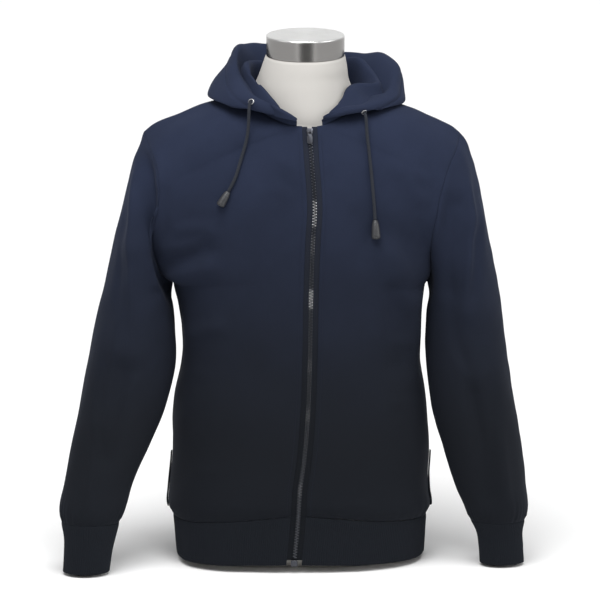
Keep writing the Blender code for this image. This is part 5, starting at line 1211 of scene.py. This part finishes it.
def make_eyelet(side, name, finish):
    """A rolled eyelet: a torus whose wire is flattened towards the cloth."""
    place, facing = (np.array(value) for value in EYELETS[side])
    facing = unit(facing)
    first = unit(np.cross(facing, [0.0, 0.0, 1.0]))
    second = np.cross(facing, first)
    a, b = np.meshgrid(*(np.linspace(0, 2 * np.pi, cells + 1) for cells in EYELET_CELLS), indexing="ij")
    reach = EYELET_RADIUS + EYELET_WIRE * np.cos(b)
    lift = EYELET_LIFT + EYELET_WIRE * EYELET_FLAT * np.sin(b)
    points = place + reach[..., None] * (np.cos(a)[..., None] * first + np.sin(a)[..., None] * second)
    points = points + lift[..., None] * facing
    numbers = np.arange(points.shape[0] * points.shape[1]).reshape(points.shape[:2])
    made = turn_out(put_mesh("eyelet_" + name + "_ring", points.reshape(-1, 3), quads(numbers, False)))
    finish_piece(made, finish, "eyelet_" + name)


def between(grid, row, column):
    """The points of a grid at rows and columns, given as arrays, that may lie between its own."""
    i = np.clip(row.astype(int), 0, grid.shape[0] - 2)
    j = np.clip(column.astype(int), 0, grid.shape[1] - 2)
    u, v = (row - i)[..., None], (column - j)[..., None]
    near = grid[i, j] * (1 - v) + grid[i, j + 1] * v
    far = grid[i + 1, j] * (1 - v) + grid[i + 1, j + 1] * v
    return near * (1 - u) + far * u


def make_welt(side, name, front, finish):
    """A pocket welt: a strip of the front's own surface moved out, with a swell that rounds its open edge.
    Returns the lines of its two rows of stitches."""
    columns = np.array(WELT_ACROSS[side]) * CLOTH_CELLS["across"]
    rows = np.array(WELT_RISE) * CLOTH_CELLS["low"]
    up, wide = np.linspace(*rows, WELT_CELLS[0] + 1), np.linspace(*columns, WELT_CELLS[1] + 1)
    v, u = np.meshgrid(up, wide, indexing="ij")
    surface = between(front["grids"][0], v, u)
    facing = unit(between(front["facing"][0], v, u))
    swell = WELT_SWELL * np.sin(np.pi * np.linspace(0, 1, len(wide))) ** 0.5
    outer = surface + facing * (WELT_GAP + WELT_THICK + swell[None, :, None])
    numbers = np.arange(outer.shape[0] * outer.shape[1]).reshape(outer.shape[:2])
    cells = quads(numbers, side == RIGHT)
    corner_uv = corner_values(lay_flat(outer), side == RIGHT)
    points, normals = outer.reshape(-1, 3), facing.reshape(-1, 3)
    wall = shell(points, normals, cells, corner_uv, WELT_THICK, WELT_ROUND)
    made = put_mesh("pocket_welt_" + name + "_cloth", *wall)
    finish_piece(made, finish, "pocket_welt_" + name)
    return [(outer[:, column], facing[:, column]) for column in WELT_STITCH_COLUMNS]


def stitches(lines, name, finish):
    """Sewing stitches: along each line, at every pitch, a thread's bow with four sides, which swells in the
    middle, lies on the cloth and dips into it at both ends."""
    starts, ways, outs = [], [], []
    for line, facing in lines:
        share = lengths(line)
        total = np.linalg.norm(np.diff(line, axis=0), axis=1).sum()
        count = max(int(total / STITCH_PITCH), 2)
        ends = np.linspace(0, 1, count + 1)
        at = np.stack([np.interp(ends, share, axis) for axis in line.T], axis=1)
        face = unit(np.stack([np.interp(ends, share, axis) for axis in facing.T], axis=1))
        starts.append(at[:-1])
        ways.append(np.diff(at, axis=0))
        outs.append(unit(face[:-1] + face[1:]))
    start, way, out = np.concatenate(starts), np.concatenate(ways), np.concatenate(outs)
    side = unit(np.cross(way, out))
    share, lift, half = STITCH["share"], STITCH_LIFT * STITCH["lift"], STITCH_HALF * STITCH["half"]
    ring = np.array([(1, 0), (0, 1), (-1, 0), (0, -1)], float)
    middle = start[:, None] + way[:, None] * share[:, None] + out[:, None] * lift[:, None]
    points = middle[:, :, None] + half[:, None, None] * (
        ring[:, :1] * side[:, None, None] + ring[:, 1:] * out[:, None, None]
    )
    faces = tube_faces(5, 4)
    faces = np.concatenate([faces, [[3, 2, 1, 0], [16, 17, 18, 19]]])
    every = faces[None] + (np.arange(len(start)) * 20)[:, None, None]
    made = turn_out(put_mesh(name, points.reshape(-1, 3), every.reshape(-1, 4)))
    return finish_piece(made, finish, None)


def form_room(points, normals):
    """The points drawn in from the cloth: by its thickness, the seat gap, the room of the table, and a bell
    curve exp(-(d / half)^2) of the distance d from the zip."""
    room = FLEECE + FORM_SEAT_GAP + FORM_EASE + through(points[:, 2], FORM_ROOM["height"], FORM_ROOM["room"])
    from_zip = points[:, 0] - zip_x(points[:, 2])
    near_zip = np.exp(-((from_zip / HOLLOW_BEHIND_ZIP_HALF) ** 2)) * (points[:, 1] < 0)
    return points - normals * (room + FORM_BEHIND_ZIP * near_zip)[:, None]


def form_grids():
    """The form's surface as grids: the garment's own half panels drawn in, a strip behind the zip, a bulged
    plate over each armhole, the neck from the neckline to the cap, and the foot."""
    fronts = {side: half_panel(side, FORM_CELLS, True) for side, _ in SIDES}
    backs = {side: half_panel(side, FORM_CELLS, False) for side, _ in SIDES}
    first = FORM_CELLS["low"]
    neck, nape = first + FORM_CELLS["neck"], first + FORM_CELLS["nape"]
    panels = [fronts[RIGHT], fronts[LEFT], backs[RIGHT], backs[LEFT]]
    points, (front_r, front_l, back_r, back_l) = weld(panels)
    flips = (True, False, False, True)
    cells = [quads(index, flip) for index, flip in zip((front_r, front_l, back_r, back_l), flips)]
    drawn = form_room(points, normals_of(points, np.concatenate(cells)))

    # The neck: rings whose radius follows the table, and whose own start fades with the height's fourth
    # power
    ring_index = np.concatenate(
        [front_r[neck:, 0], back_r[nape:, 0][::-1][1:], back_l[nape + 1 :, 0], front_l[neck:, 0][::-1]]
    )
    axis = np.array([NECK_X, NECK_Y])
    way = drawn[ring_index, :2] - axis
    radius = np.linalg.norm(way, axis=1) - FORM_NECK_GAP
    way = unit(way)
    drawn[ring_index, :2] = axis + way * radius[:, None]
    start = drawn[ring_index]
    share = np.linspace(0, 1, FORM_NECK_RINGS)[:, None]
    top = NECK_TOP + way[:, 1] * FORM_NECK["radius"][-1] * math.tan(NECK_TILT)
    height = start[:, 2] + (top - start[:, 2]) * share
    own = (radius - through(start[:, 2], FORM_NECK["height"], FORM_NECK["radius"])) * (1 - share) ** 4
    reach = through(height, FORM_NECK["height"], FORM_NECK["radius"]) + own
    neck_rings = np.concatenate([axis + way * reach[..., None], height[..., None]], axis=2)
    neck_rings[..., 0] += through(height, FORM_NECK["height"], FORM_NECK["lean"]) * smooth_step(share, 0, 0.1)
    neck_rings[0] = start
    closing = np.linspace(1, 0, 5)[:, None, None]
    middle = np.array([NECK_X, NECK_Y, NECK_TOP])
    neck_rings = np.concatenate([neck_rings, (middle + (neck_rings[-1] - middle) * closing)[1:]])
    neck_rings = np.concatenate([neck_rings, neck_rings[:, :1]], axis=1)
    strip = np.stack([drawn[front_r[: neck + 1, 0]], drawn[front_l[: neck + 1, 0]]], axis=1)

    plates = []
    for side, front, back in ((RIGHT, front_r, back_r), (LEFT, front_l, back_l)):
        loop = drawn[np.concatenate([front[first:, -1], back[first:, -1][::-1]])]
        centre = loop.mean(axis=0)
        size = np.linspace(1, 0, 9)[:, None, None]
        bulge = np.array([side * ARMHOLE_PLATE_BULGE, 0, 0]) * (1 - size**2)
        plates.append(centre + (loop - centre) * size + bulge)

    foot = drawn[np.concatenate([front_r[0, ::-1], front_l[0], back_l[0, ::-1][1:], back_r[0, 1:]])]
    rings = [foot]
    for height, half_width, front, back in zip(*FORM_FOOT.values()):
        wide = half_width / np.abs(foot[:, 0]).max()
        deep = np.where(foot[:, 1] < 0, front / -foot[:, 1].min(), back / foot[:, 1].max())
        rings.append(np.stack([foot[:, 0] * wide, foot[:, 1] * deep, np.full(len(foot), height)], axis=1))
    rings.append(np.zeros_like(foot))
    return [drawn[index] for index in (front_r, front_l, back_r, back_l)] + [
        strip, neck_rings, *plates, np.array(rings)
    ]


def make_form(finish):
    """The form's whole surface as one closed solid."""
    grids = form_grids()
    points, numbers = weld(grids)
    faces = np.concatenate([quads(index, False) for index in numbers])
    made = turn_out(put_mesh("form_body", points, faces))
    return finish_piece(made, finish, "dress_form")


def make_cap(finish):
    """The neck cap, turned: a straight band with a rounded upper rim, a slightly domed top, and a thin reveal
    at its foot. The profile runs from the middle of the underside to the middle of the top."""
    up = np.array([0.0, -math.sin(NECK_TILT), math.cos(NECK_TILT)])
    ahead = np.array([0.0, -math.cos(NECK_TILT), -math.sin(NECK_TILT)])
    foot = np.array([NECK_X, NECK_Y, NECK_TOP]) + up * PIECE_GAP
    rim = np.linspace(0, np.pi / 2, 9)
    lower = np.linspace(-np.pi / 2, 0, 5)
    top = np.linspace(CAP_RADIUS - CAP_RIM_ROUND, 0, 14)[1:]
    radius = np.concatenate([
        np.linspace(0, CAP_RADIUS - CAP_FOOT_ROUND, 8),
        CAP_RADIUS - CAP_FOOT_ROUND + CAP_FOOT_ROUND * np.cos(lower[1:]),
        np.full(10, CAP_RADIUS),
        CAP_RADIUS - CAP_RIM_ROUND + CAP_RIM_ROUND * np.cos(rim[1:]),
        top,
    ])
    level = np.concatenate([
        np.zeros(8),
        CAP_FOOT_ROUND + CAP_FOOT_ROUND * np.sin(lower[1:]),
        np.linspace(CAP_FOOT_ROUND, CAP_HEIGHT - CAP_RIM_ROUND, 12)[1:-1],
        CAP_HEIGHT - CAP_RIM_ROUND + CAP_RIM_ROUND * np.sin(rim[1:]),
        CAP_HEIGHT + CAP_DOME * (1 - (top / CAP_RADIUS) ** 2),
    ])
    angle = np.linspace(0, 2 * np.pi, 129)
    flat = ahead * np.cos(angle)[:, None] + SIDEWAYS * np.sin(angle)[:, None]
    grid = foot + radius[:, None, None] * flat[None] + level[:, None, None] * up
    grid[0], grid[-1] = foot + up * level[0], foot + up * level[-1]
    points, (index,) = weld([grid])
    round_it = np.stack(np.broadcast_arrays(angle[None] / (2 * np.pi), lay_flat(grid)[:, :1, 1]), axis=-1)
    made = put_mesh("neck_cap_steel", points, quads(index, True), corner_values(round_it, True), sharp=60)
    return finish_piece(made, finish, "neck_cap")


def group(name, inputs, outputs):
    """A shader group with number and colour sockets: its tree, and its input and output nodes."""
    tree = bpy.data.node_groups.new(name, "ShaderNodeTree")
    for label, kind in inputs:
        tree.interface.new_socket(label, in_out="INPUT", socket_type=kind)
    for label, kind in outputs:
        tree.interface.new_socket(label, in_out="OUTPUT", socket_type=kind)
    return tree, tree.nodes.new("NodeGroupInput"), tree.nodes.new("NodeGroupOutput")


def node(tree, kind, values=None, **settings):
    """A node with its settings, and its inputs set or joined by name or number."""
    made = tree.nodes.new(kind)
    for name, value in settings.items():
        setattr(made, name, value)
    for name, value in (values or {}).items():
        if isinstance(value, bpy.types.NodeSocket):
            tree.links.new(value, made.inputs[name])
        else:
            made.inputs[name].default_value = value
    return made


def maths(tree, operation, first, second=0.0, third=0.0, clamp=False):
    """The result of a maths node on numbers or sockets."""
    made = node(tree, "ShaderNodeMath", {0: first, 1: second, 2: third}, operation=operation, use_clamp=clamp)
    return made.outputs[0]


def knit_group():
    """A plain knit's relief from metres across and along: each wale is a round ridge, |sin(pi u)|, and the
    stitches on it slant as arms of a V, cos(2 pi (v + |u - 1/2|))."""
    number = "NodeSocketFloat"
    tree, inner, outer = group("knit stitches", [("Wale", number), ("Course", number)], [("Height", number)])
    flat = node(tree, "ShaderNodeSeparateXYZ", {0: node(tree, "ShaderNodeTexCoord").outputs["UV"]})
    wales = maths(tree, "DIVIDE", flat.outputs["X"], inner.outputs["Wale"])
    courses = maths(tree, "DIVIDE", flat.outputs["Y"], inner.outputs["Course"])
    ridge = maths(tree, "ABSOLUTE", maths(tree, "SINE", maths(tree, "MULTIPLY", wales, math.pi)))
    slant = maths(tree, "ABSOLUTE", maths(tree, "SUBTRACT", maths(tree, "FRACT", wales), 0.5))
    turn = maths(tree, "MULTIPLY", maths(tree, "ADD", courses, slant), 2 * math.pi)
    arms = maths(tree, "MULTIPLY_ADD", maths(tree, "COSINE", turn), 0.35, 0.65)
    tree.links.new(maths(tree, "MULTIPLY", ridge, arms), outer.inputs["Height"])
    return tree


def dye_and_shade_group():
    """Cloth colour: broad clouds and a fine melange mix the two dyed colours, and painted shade darkens the
    cloth towards the hem."""
    number, colour = "NodeSocketFloat", "NodeSocketColor"
    tree, inner, outer = group(
        "dyed fleece", [("Light", colour), ("Dark", colour), ("Hem", colour), ("Clouds", number)],
        [("Color", colour)],
    )
    place = node(tree, "ShaderNodeTexCoord").outputs["Object"]
    values = {"Vector": place, "Scale": 9.0, "Detail": 4.0, "Roughness": 0.6}
    clouds = node(tree, "ShaderNodeTexNoise", values)
    melange = node(tree, "ShaderNodeTexNoise", {"Vector": place, "Scale": 900.0, "Detail": 2.0})
    both = maths(tree, "MULTIPLY_ADD", melange.outputs["Fac"], 0.35, maths(
        tree, "MULTIPLY", clouds.outputs["Fac"], inner.outputs["Clouds"]))
    share = node(tree, "ShaderNodeMapRange", {"Value": both, "From Min": 0.25, "From Max": 0.85})
    first = node(tree, "ShaderNodeMix", {
        "Factor": share.outputs[0], 6: inner.outputs["Dark"], 7: inner.outputs["Light"]}, data_type="RGBA")
    # Painted shade: below the clear height the colour darkens towards the hem colour, fully at the deep
    # height
    height = node(tree, "ShaderNodeSeparateXYZ", {0: place}).outputs["Z"]
    wander = maths(tree, "MULTIPLY_ADD", clouds.outputs["Fac"], 0.05, height)
    low = node(tree, "ShaderNodeMapRange", {"Value": wander, "From Min": PAINTED_SHADE_FULL, "From Max": PAINTED_SHADE_CLEAR,
               "To Min": 1.0, "To Max": 0.0}, interpolation_type="SMOOTHSTEP")
    last = node(tree, "ShaderNodeMix", {
        "Factor": low.outputs[0], 6: first.outputs[2], 7: inner.outputs["Hem"]}, data_type="RGBA")
    tree.links.new(last.outputs[2], outer.inputs["Color"])
    return tree


def nap_group():
    """The nap: a noise of many sizes, as height."""
    number = "NodeSocketFloat"
    tree, inner, outer = group("nap", [("Scale", number)], [("Height", number)])
    place = node(tree, "ShaderNodeTexCoord").outputs["Object"]
    values = {"Vector": place, "Scale": inner.outputs["Scale"], "Detail": 5.0, "Roughness": 0.7}
    fibres = node(tree, "ShaderNodeTexNoise", values)
    tree.links.new(fibres.outputs["Fac"], outer.inputs["Height"])
    return tree


def scratch_group():
    """Fine brushed lines round a turned metal piece: noise stretched along the U of its map."""
    number = "NodeSocketFloat"
    tree, inner, outer = group("brushed lines", [("Fineness", number)], [("Lines", number)])
    place = node(tree, "ShaderNodeTexCoord").outputs["UV"]
    stretch = node(tree, "ShaderNodeMapping", {"Vector": place, "Scale": (3.0, 1.0, 1.0)})
    values = {0: stretch.outputs[0], 1: (1.0, 1400.0, 1.0)}
    scaled = node(tree, "ShaderNodeVectorMath", values, operation="MULTIPLY")
    lines = node(tree, "ShaderNodeTexNoise", {"Vector": scaled.outputs[0], "Scale": inner.outputs["Fineness"],
                 "Detail": 3.0, "Roughness": 0.65})
    tree.links.new(lines.outputs["Fac"], outer.inputs["Lines"])
    return tree


def placed(tree, made_group, values):
    """A group placed in a material with its own values."""
    return node(tree, "ShaderNodeGroup", values, node_tree=made_group)


def new_material(name, roughness, metallic=0.0, **sockets):
    """A material, its tree and its shader, whose other sockets are given by name."""
    made = bpy.data.materials.new(name)
    made.use_nodes = True
    shader = made.node_tree.nodes["Principled BSDF"]
    shader.inputs["Roughness"].default_value = roughness
    shader.inputs["Metallic"].default_value = metallic
    for label, value in sockets.items():
        shader.inputs[label.replace("_", " ")].default_value = value
    return made, made.node_tree, shader


def join_bump(tree, shader, height, strength, distance):
    """Raises a height as bump on a shader."""
    bump = node(tree, "ShaderNodeBump", {"Height": height, "Strength": strength, "Distance": distance})
    tree.links.new(bump.outputs["Normal"], shader.inputs["Normal"])


def cloth_material(name, groups, light, dark, hem, wale, course, knit_depth):
    """Knitted fleece: dyed colour darkened by painted shade towards the hem, knit and nap as relief, and the
    soft sheen of its fibres.
    """
    made, tree, shader = new_material(name, 0.92, Sheen_Weight=0.035, Sheen_Roughness=0.45)
    shader.inputs["Sheen Tint"].default_value = BLUE_SHEEN
    shader.inputs["Specular IOR Level"].default_value = CLOTH_SPECULAR
    dye = placed(tree, groups["dye"], {"Light": light, "Dark": dark, "Hem": hem, "Clouds": 0.75})
    tree.links.new(dye.outputs["Color"], shader.inputs["Base Color"])
    knit = placed(tree, groups["knit"], {"Wale": wale, "Course": course})
    nap = placed(tree, groups["nap"], {"Scale": 700.0})
    height = maths(tree, "MULTIPLY_ADD", nap.outputs["Height"], 0.8, maths(
        tree, "MULTIPLY", knit.outputs["Height"], knit_depth))
    join_bump(tree, shader, height, 0.35, 0.0004)
    return made


def woven_material(name, groups, light, dark, roughness, wale, course, depth, sheen, hem=None):
    """Tape, cord and thread: a tight weave over a mottled colour, which painted shade may darken towards the
    hem.
    """
    made, tree, shader = new_material(name, roughness, Sheen_Weight=sheen, Sheen_Roughness=0.5)
    shader.inputs["Sheen Tint"].default_value = BLUE_SHEEN
    shader.inputs["Specular IOR Level"].default_value = CLOTH_SPECULAR
    place = node(tree, "ShaderNodeTexCoord").outputs["Object"]
    speck = node(tree, "ShaderNodeTexNoise", {"Vector": place, "Scale": 600.0, "Detail": 3.0})
    values = {"Factor": speck.outputs["Fac"], 6: dark, 7: light}
    mixed = node(tree, "ShaderNodeMix", values, data_type="RGBA")
    colour = mixed.outputs[2]
    # With a hem colour, painted shade darkens the colour towards the hem
    if hem:
        values = {"Light": light, "Dark": dark, "Hem": hem, "Clouds": 0.6}
        colour = placed(tree, groups["dye"], values).outputs["Color"]
    tree.links.new(colour, shader.inputs["Base Color"])
    knit = placed(tree, groups["knit"], {"Wale": wale, "Course": course})
    join_bump(tree, shader, knit.outputs["Height"], 0.5, depth)
    return made


def metal_material(name, light, dark, roughness):
    """Cast or stamped metal with rubbed patches, and fine pits that change its gloss."""
    made, tree, shader = new_material(name, roughness, 1.0)
    place = node(tree, "ShaderNodeTexCoord").outputs["Object"]
    values = {"Vector": place, "Scale": PIT_SCALE, "Detail": 5.0, "Roughness": 0.6}
    pits = node(tree, "ShaderNodeTexNoise", values)
    wear_and_highlight = node(tree, "ShaderNodeTexNoise", {"Vector": place, "Scale": PIT_SCALE / 6, "Detail": 2.0})
    values = {"Factor": wear_and_highlight.outputs["Fac"], 6: dark, 7: light}
    mixed = node(tree, "ShaderNodeMix", values, data_type="RGBA")
    tree.links.new(mixed.outputs[2], shader.inputs["Base Color"])
    rough = node(tree, "ShaderNodeMapRange", {
        "Value": pits.outputs["Fac"], "From Min": 0.3, "From Max": 0.7, "To Min": roughness * 0.75,
        "To Max": min(roughness * 1.5, 1.0),
    })
    tree.links.new(rough.outputs[0], shader.inputs["Roughness"])
    join_bump(tree, shader, pits.outputs["Fac"], 0.2, 0.0001)
    return made


def teeth_material():
    """Dark nickel teeth, with painted highlights at the heights where the zip bends."""
    made, tree, shader = new_material("dark_nickel_teeth", 0.34, 1.0)
    place = node(tree, "ShaderNodeTexCoord").outputs["Object"]
    height = node(tree, "ShaderNodeSeparateXYZ", {0: place}).outputs["Z"]
    wander = node(tree, "ShaderNodeTexNoise", {"Vector": place, "Scale": 260.0, "Detail": 2.0}).outputs["Fac"]
    wear_and_highlight = 0.0
    # Each listed patch is a painted highlight, where the bending teeth would catch the light
    for middle, half, share in PAINTED_HIGHLIGHTS:
        away = maths(tree, "ABSOLUTE", maths(tree, "SUBTRACT", height, middle))
        values = {"Value": away, "From Min": half, "From Max": 1.5 * half, "To Min": share, "To Max": 0.0}
        near = node(tree, "ShaderNodeMapRange", values, interpolation_type="SMOOTHSTEP").outputs[0]
        wear_and_highlight = maths(tree, "MAXIMUM", near, wear_and_highlight)
    shown = maths(tree, "MULTIPLY", wear_and_highlight, maths(tree, "MULTIPLY_ADD", wander, 1.6, 0.1), clamp=True)
    mixed = node(tree, "ShaderNodeMix", {
        "Factor": shown, 6: TEETH_DARK, 7: TEETH_PAINTED_HIGHLIGHT}, data_type="RGBA")
    tree.links.new(mixed.outputs[2], shader.inputs["Base Color"])
    return made


def steel_material(groups):
    """Brushed steel: lines round the band and the paler top, glossier along them than across."""
    made, tree, shader = new_material("brushed_steel_cap", 0.22, 1.0, Anisotropic=0.8)
    lines = placed(tree, groups["scratch"], {"Fineness": 1.0})
    mixed = node(tree, "ShaderNodeMix", {
        "Factor": lines.outputs["Lines"], 6: STEEL_DARK, 7: STEEL_LIGHT}, data_type="RGBA")
    on_map = node(tree, "ShaderNodeTexCoord").outputs["UV"]
    up_profile = node(tree, "ShaderNodeSeparateXYZ", {0: on_map}).outputs["Y"]
    rim = CAP_RADIUS + CAP_HEIGHT
    values = {"Value": up_profile, "From Min": rim - STEEL_TOP_START, "From Max": rim - STEEL_TOP_FULL}
    on_top = node(tree, "ShaderNodeMapRange", values).outputs[0]
    values = {"Factor": on_top, 6: mixed.outputs[2], 7: STEEL_TOP}
    topped = node(tree, "ShaderNodeMix", values, data_type="RGBA")
    tree.links.new(topped.outputs[2], shader.inputs["Base Color"])
    rough = node(tree, "ShaderNodeMapRange", {
        "Value": lines.outputs["Lines"], "From Min": 0.3, "From Max": 0.7, "To Min": 0.16, "To Max": 0.26,
    })
    tree.links.new(rough.outputs[0], shader.inputs["Roughness"])
    join_bump(tree, shader, lines.outputs["Lines"], 0.15, 0.0001)
    tangent = node(tree, "ShaderNodeTangent", direction_type="UV_MAP", uv_map="metres")
    tree.links.new(tangent.outputs[0], shader.inputs["Tangent"])
    return made


def jersey_material():
    """The form's cover: a fine off-white jersey stretched tight, a little greyer in broad clouds."""
    made, tree, shader = new_material("off_white_jersey", 0.85, Sheen_Weight=0.15, Sheen_Roughness=0.4)
    place = node(tree, "ShaderNodeTexCoord").outputs["Object"]
    clouds = node(tree, "ShaderNodeTexNoise", {"Vector": place, "Scale": 6.0, "Detail": 4.0})
    mixed = node(tree, "ShaderNodeMix", {
        "Factor": clouds.outputs["Fac"], 6: JERSEY_DARK, 7: JERSEY_LIGHT}, data_type="RGBA")
    tree.links.new(mixed.outputs[2], shader.inputs["Base Color"])
    values = {"Vector": place, "Scale": 300.0, "Distortion": 1.0, "Detail": 1.0}
    weave = node(tree, "ShaderNodeTexWave", values, wave_type="BANDS", bands_direction="Z")
    join_bump(tree, shader, weave.outputs["Fac"], 0.12, 0.0002)
    return made


def tip_material():
    """Moulded plastic with a fine grain."""
    made, tree, shader = new_material("dark_grey_moulded_tip", 0.45)
    place = node(tree, "ShaderNodeTexCoord").outputs["Object"]
    grain = node(tree, "ShaderNodeTexNoise", {"Vector": place, "Scale": 500.0, "Detail": 3.0})
    mixed = node(tree, "ShaderNodeMix", {
        "Factor": grain.outputs["Fac"], 6: TIP_DARK, 7: TIP_LIGHT}, data_type="RGBA")
    tree.links.new(mixed.outputs[2], shader.inputs["Base Color"])
    join_bump(tree, shader, grain.outputs["Fac"], 0.15, 0.0001)
    return made


def make_finishes():
    """Every finish. A knit's or weave's sizes are its wale, its course and how deep it is."""
    groups = {"knit": knit_group(), "dye": dye_and_shade_group(), "nap": nap_group(), "scratch": scratch_group()}
    return {
        "fleece": cloth_material(
            "navy_fleece", groups, FLEECE_LIGHT, FLEECE_DARK, FLEECE_PAINTED_SHADE, 0.0011, 0.0009, knit_depth=0.5
        ),
        "rib": cloth_material(
            "navy_rib", groups, RIB_LIGHT, RIB_DARK, RIB_PAINTED_SHADE, 0.0008, 0.0009, knit_depth=0.7
        ),
        "tape": woven_material(
            "charcoal_tape", groups, TAPE_LIGHT, TAPE_DARK, 0.85, 0.0006, 0.0006, 0.0003, sheen=0.02,
            hem=TAPE_PAINTED_SHADE,
        ),
        "cord": woven_material(
            "charcoal_cord", groups, CORD_LIGHT, CORD_DARK, 0.85, 0.0007, 0.0009, 0.0002, sheen=0.04
        ),
        "thread": woven_material(
            "navy_thread", groups, THREAD_LIGHT, THREAD_DARK, 0.7, 0.0003, 0.0003, 0.0001, sheen=0.03
        ),
        "teeth": teeth_material(),
        "gunmetal": metal_material("gunmetal", GUNMETAL_LIGHT, GUNMETAL_DARK, 0.34),
        "bright": metal_material("bright_nickel", NICKEL_LIGHT, NICKEL_DARK, 0.28),
        "steel": steel_material(groups),
        "jersey": jersey_material(),
        "tip": tip_material(),
    }


def line_on(piece, rows, columns):
    """Points and facings of a piece's first grid along rows and columns that may lie between its own."""
    return between(piece["grids"][0], rows, columns), unit(between(piece["facing"][0], rows, columns))


def zip_edge_line(front):
    """A line beside a front's zip edge, from the hem seam to the neck corner."""
    across_metres = front["metres"][0][..., 0]
    rows = np.arange(CLOTH_CELLS["low"] + CLOTH_CELLS["neck"] - 1, dtype=float)
    columns = np.array([np.interp(ZIP_STITCH_IN, across_metres[int(row)], np.arange(len(across_metres[0])))
                        for row in rows])
    return line_on(front, rows, columns)


def channel_line(hood):
    """The drawcord channel's line on a hood half: a fixed way back from its roll's crest, and less near the
    zip."""
    up_metres = hood["metres"][0][..., 1]
    columns = np.arange(up_metres.shape[1], dtype=float)
    rows = [np.interp(crest - min(HOOD_CHANNEL, 0.4 * crest), up, np.arange(len(up)))
            for up, crest in zip(up_metres.T, up_metres[HOOD_CREST_ROW])]
    return line_on(hood, np.array(rows), columns)


def make_camera():
    """The camera before the part, raised and aimed as the photo's view is."""
    data = bpy.data.cameras.new("camera")
    data.sensor_width = SENSOR
    data.lens = LENS_PIXELS / PHOTO_PIXELS * SENSOR
    data.clip_end = CAMERA_REACH
    camera = bpy.data.objects.new("camera", data)
    bpy.context.scene.collection.objects.link(camera)
    back, up = math.cos(CAMERA_ELEVATION), math.sin(CAMERA_ELEVATION)
    camera.location = (0, -CAMERA_DISTANCE * back, AIM_HEIGHT + CAMERA_DISTANCE * up)
    camera.rotation_euler = (math.pi / 2 - CAMERA_ELEVATION, 0, 0)
    bpy.context.scene.camera = camera


def plain_card(name, corners, grey, glow=0.0):
    """A flat stage card of four corners."""
    mesh = bpy.data.meshes.new(name)
    mesh.from_pydata(corners, [], [(0, 1, 2, 3)])
    finish, _, shader = new_material(name, 0.9)
    shader.inputs["Base Color"].default_value = (grey, grey, grey, 1)
    shader.inputs["Emission Color"].default_value = (1, 1, 1, 1)
    shader.inputs["Emission Strength"].default_value = glow
    mesh.materials.append(finish)
    card = bpy.data.objects.new(name, mesh)
    bpy.context.scene.collection.objects.link(card)
    return card


def make_studio():
    """A wide pale floor, a soft even surround, far panels from above and both sides, a large soft light from
    above and in front, a small one over the hood, and four cards that only reflections see: a dark one before
    the steel cap between two bright strips, and a pale one behind it."""
    wide = FLOOR_HALF
    plain_card("floor", [(-wide, -wide, 0), (wide, -wide, 0), (wide, wide, 0), (-wide, wide, 0)], FLOOR_GREY)
    for name, y, start, end, foot, top, grey, glow in REFLECTED_CARDS:
        x0, x1 = (NECK_X + abs(y) * math.tan(math.radians(turn)) for turn in (start, end))
        corners = [(x0, y, foot), (x1, y, foot), (x1, y, top), (x0, y, top)]
        card = plain_card(name, corners, grey, glow)
        for kind in ("camera", "diffuse", "shadow", "transmission", "volume_scatter"):
            setattr(card, "visible_" + kind, False)
    world = bpy.data.worlds.new("studio")
    bpy.context.scene.world = world
    world.use_nodes = True
    surround = world.node_tree.nodes["Background"]
    surround.inputs["Color"].default_value = (1.0, 1.0, 1.0, 1)
    surround.inputs["Strength"].default_value = WORLD_LIGHT
    for name, power, size, place, aim in SOFT_LIGHTS:
        data = bpy.data.lights.new(name, "AREA")
        data.shape, data.size, data.energy = "DISK", size, power
        light = bpy.data.objects.new(name, data)
        bpy.context.scene.collection.objects.link(light)
        light.location = place
        light.rotation_euler = (Vector(aim) - Vector(place)).to_track_quat("-Z", "Y").to_euler()
    for name, strength, spread, turn, rise in PANELS:
        data = bpy.data.lights.new(name, "SUN")
        data.energy, data.angle = strength, math.radians(spread)
        light = bpy.data.objects.new(name, data)
        bpy.context.scene.collection.objects.link(light)
        turn, rise = math.radians(turn), math.radians(rise)
        source = Vector((math.sin(turn) * math.cos(rise), -math.cos(turn) * math.cos(rise), math.sin(rise)))
        light.rotation_euler = source.to_track_quat("Z", "Y").to_euler()
    bpy.context.scene.view_settings.view_transform = "Standard"


def main():
    """The camera and the cords, then every other piece, then the studio."""
    finish = make_finishes()
    make_camera()
    for side, name in SIDES:
        make_cord(side, name, finish["cord"], finish["tip"])
        make_eyelet(side, name, finish["bright"])

    pieces, fronts, backs = cloth_pieces()
    fleece = sew(pieces, drape)
    for name, piece in fleece.items():
        make_cloth(name + "_cloth", piece, FLEECE, finish["fleece"], name)
    for side, name in SIDES:
        cuff = sew({"cuff": cuff_piece(side)}, ribs)["cuff"]
        make_cloth("cuff_" + name + "_rib", cuff, RIB, finish["rib"], "cuff_" + name)
    hem = sew({"hem": hem_pieces(fronts, backs)}, ribs)["hem"]
    make_cloth("hem_band_rib", hem, RIB, finish["rib"], "hem_band")

    lines = []
    for side, name in SIDES:
        lines += make_welt(side, name, fleece["front_" + name], finish["fleece"])
        lines.append(zip_edge_line(fleece["front_" + name]))
        lines.append(channel_line(fleece["hood_" + name]))
    stitches(lines, "seam_stitches", finish["thread"])
    make_zip(finish)
    make_form(finish["jersey"])
    make_cap(finish["steel"])
    make_studio()


main()
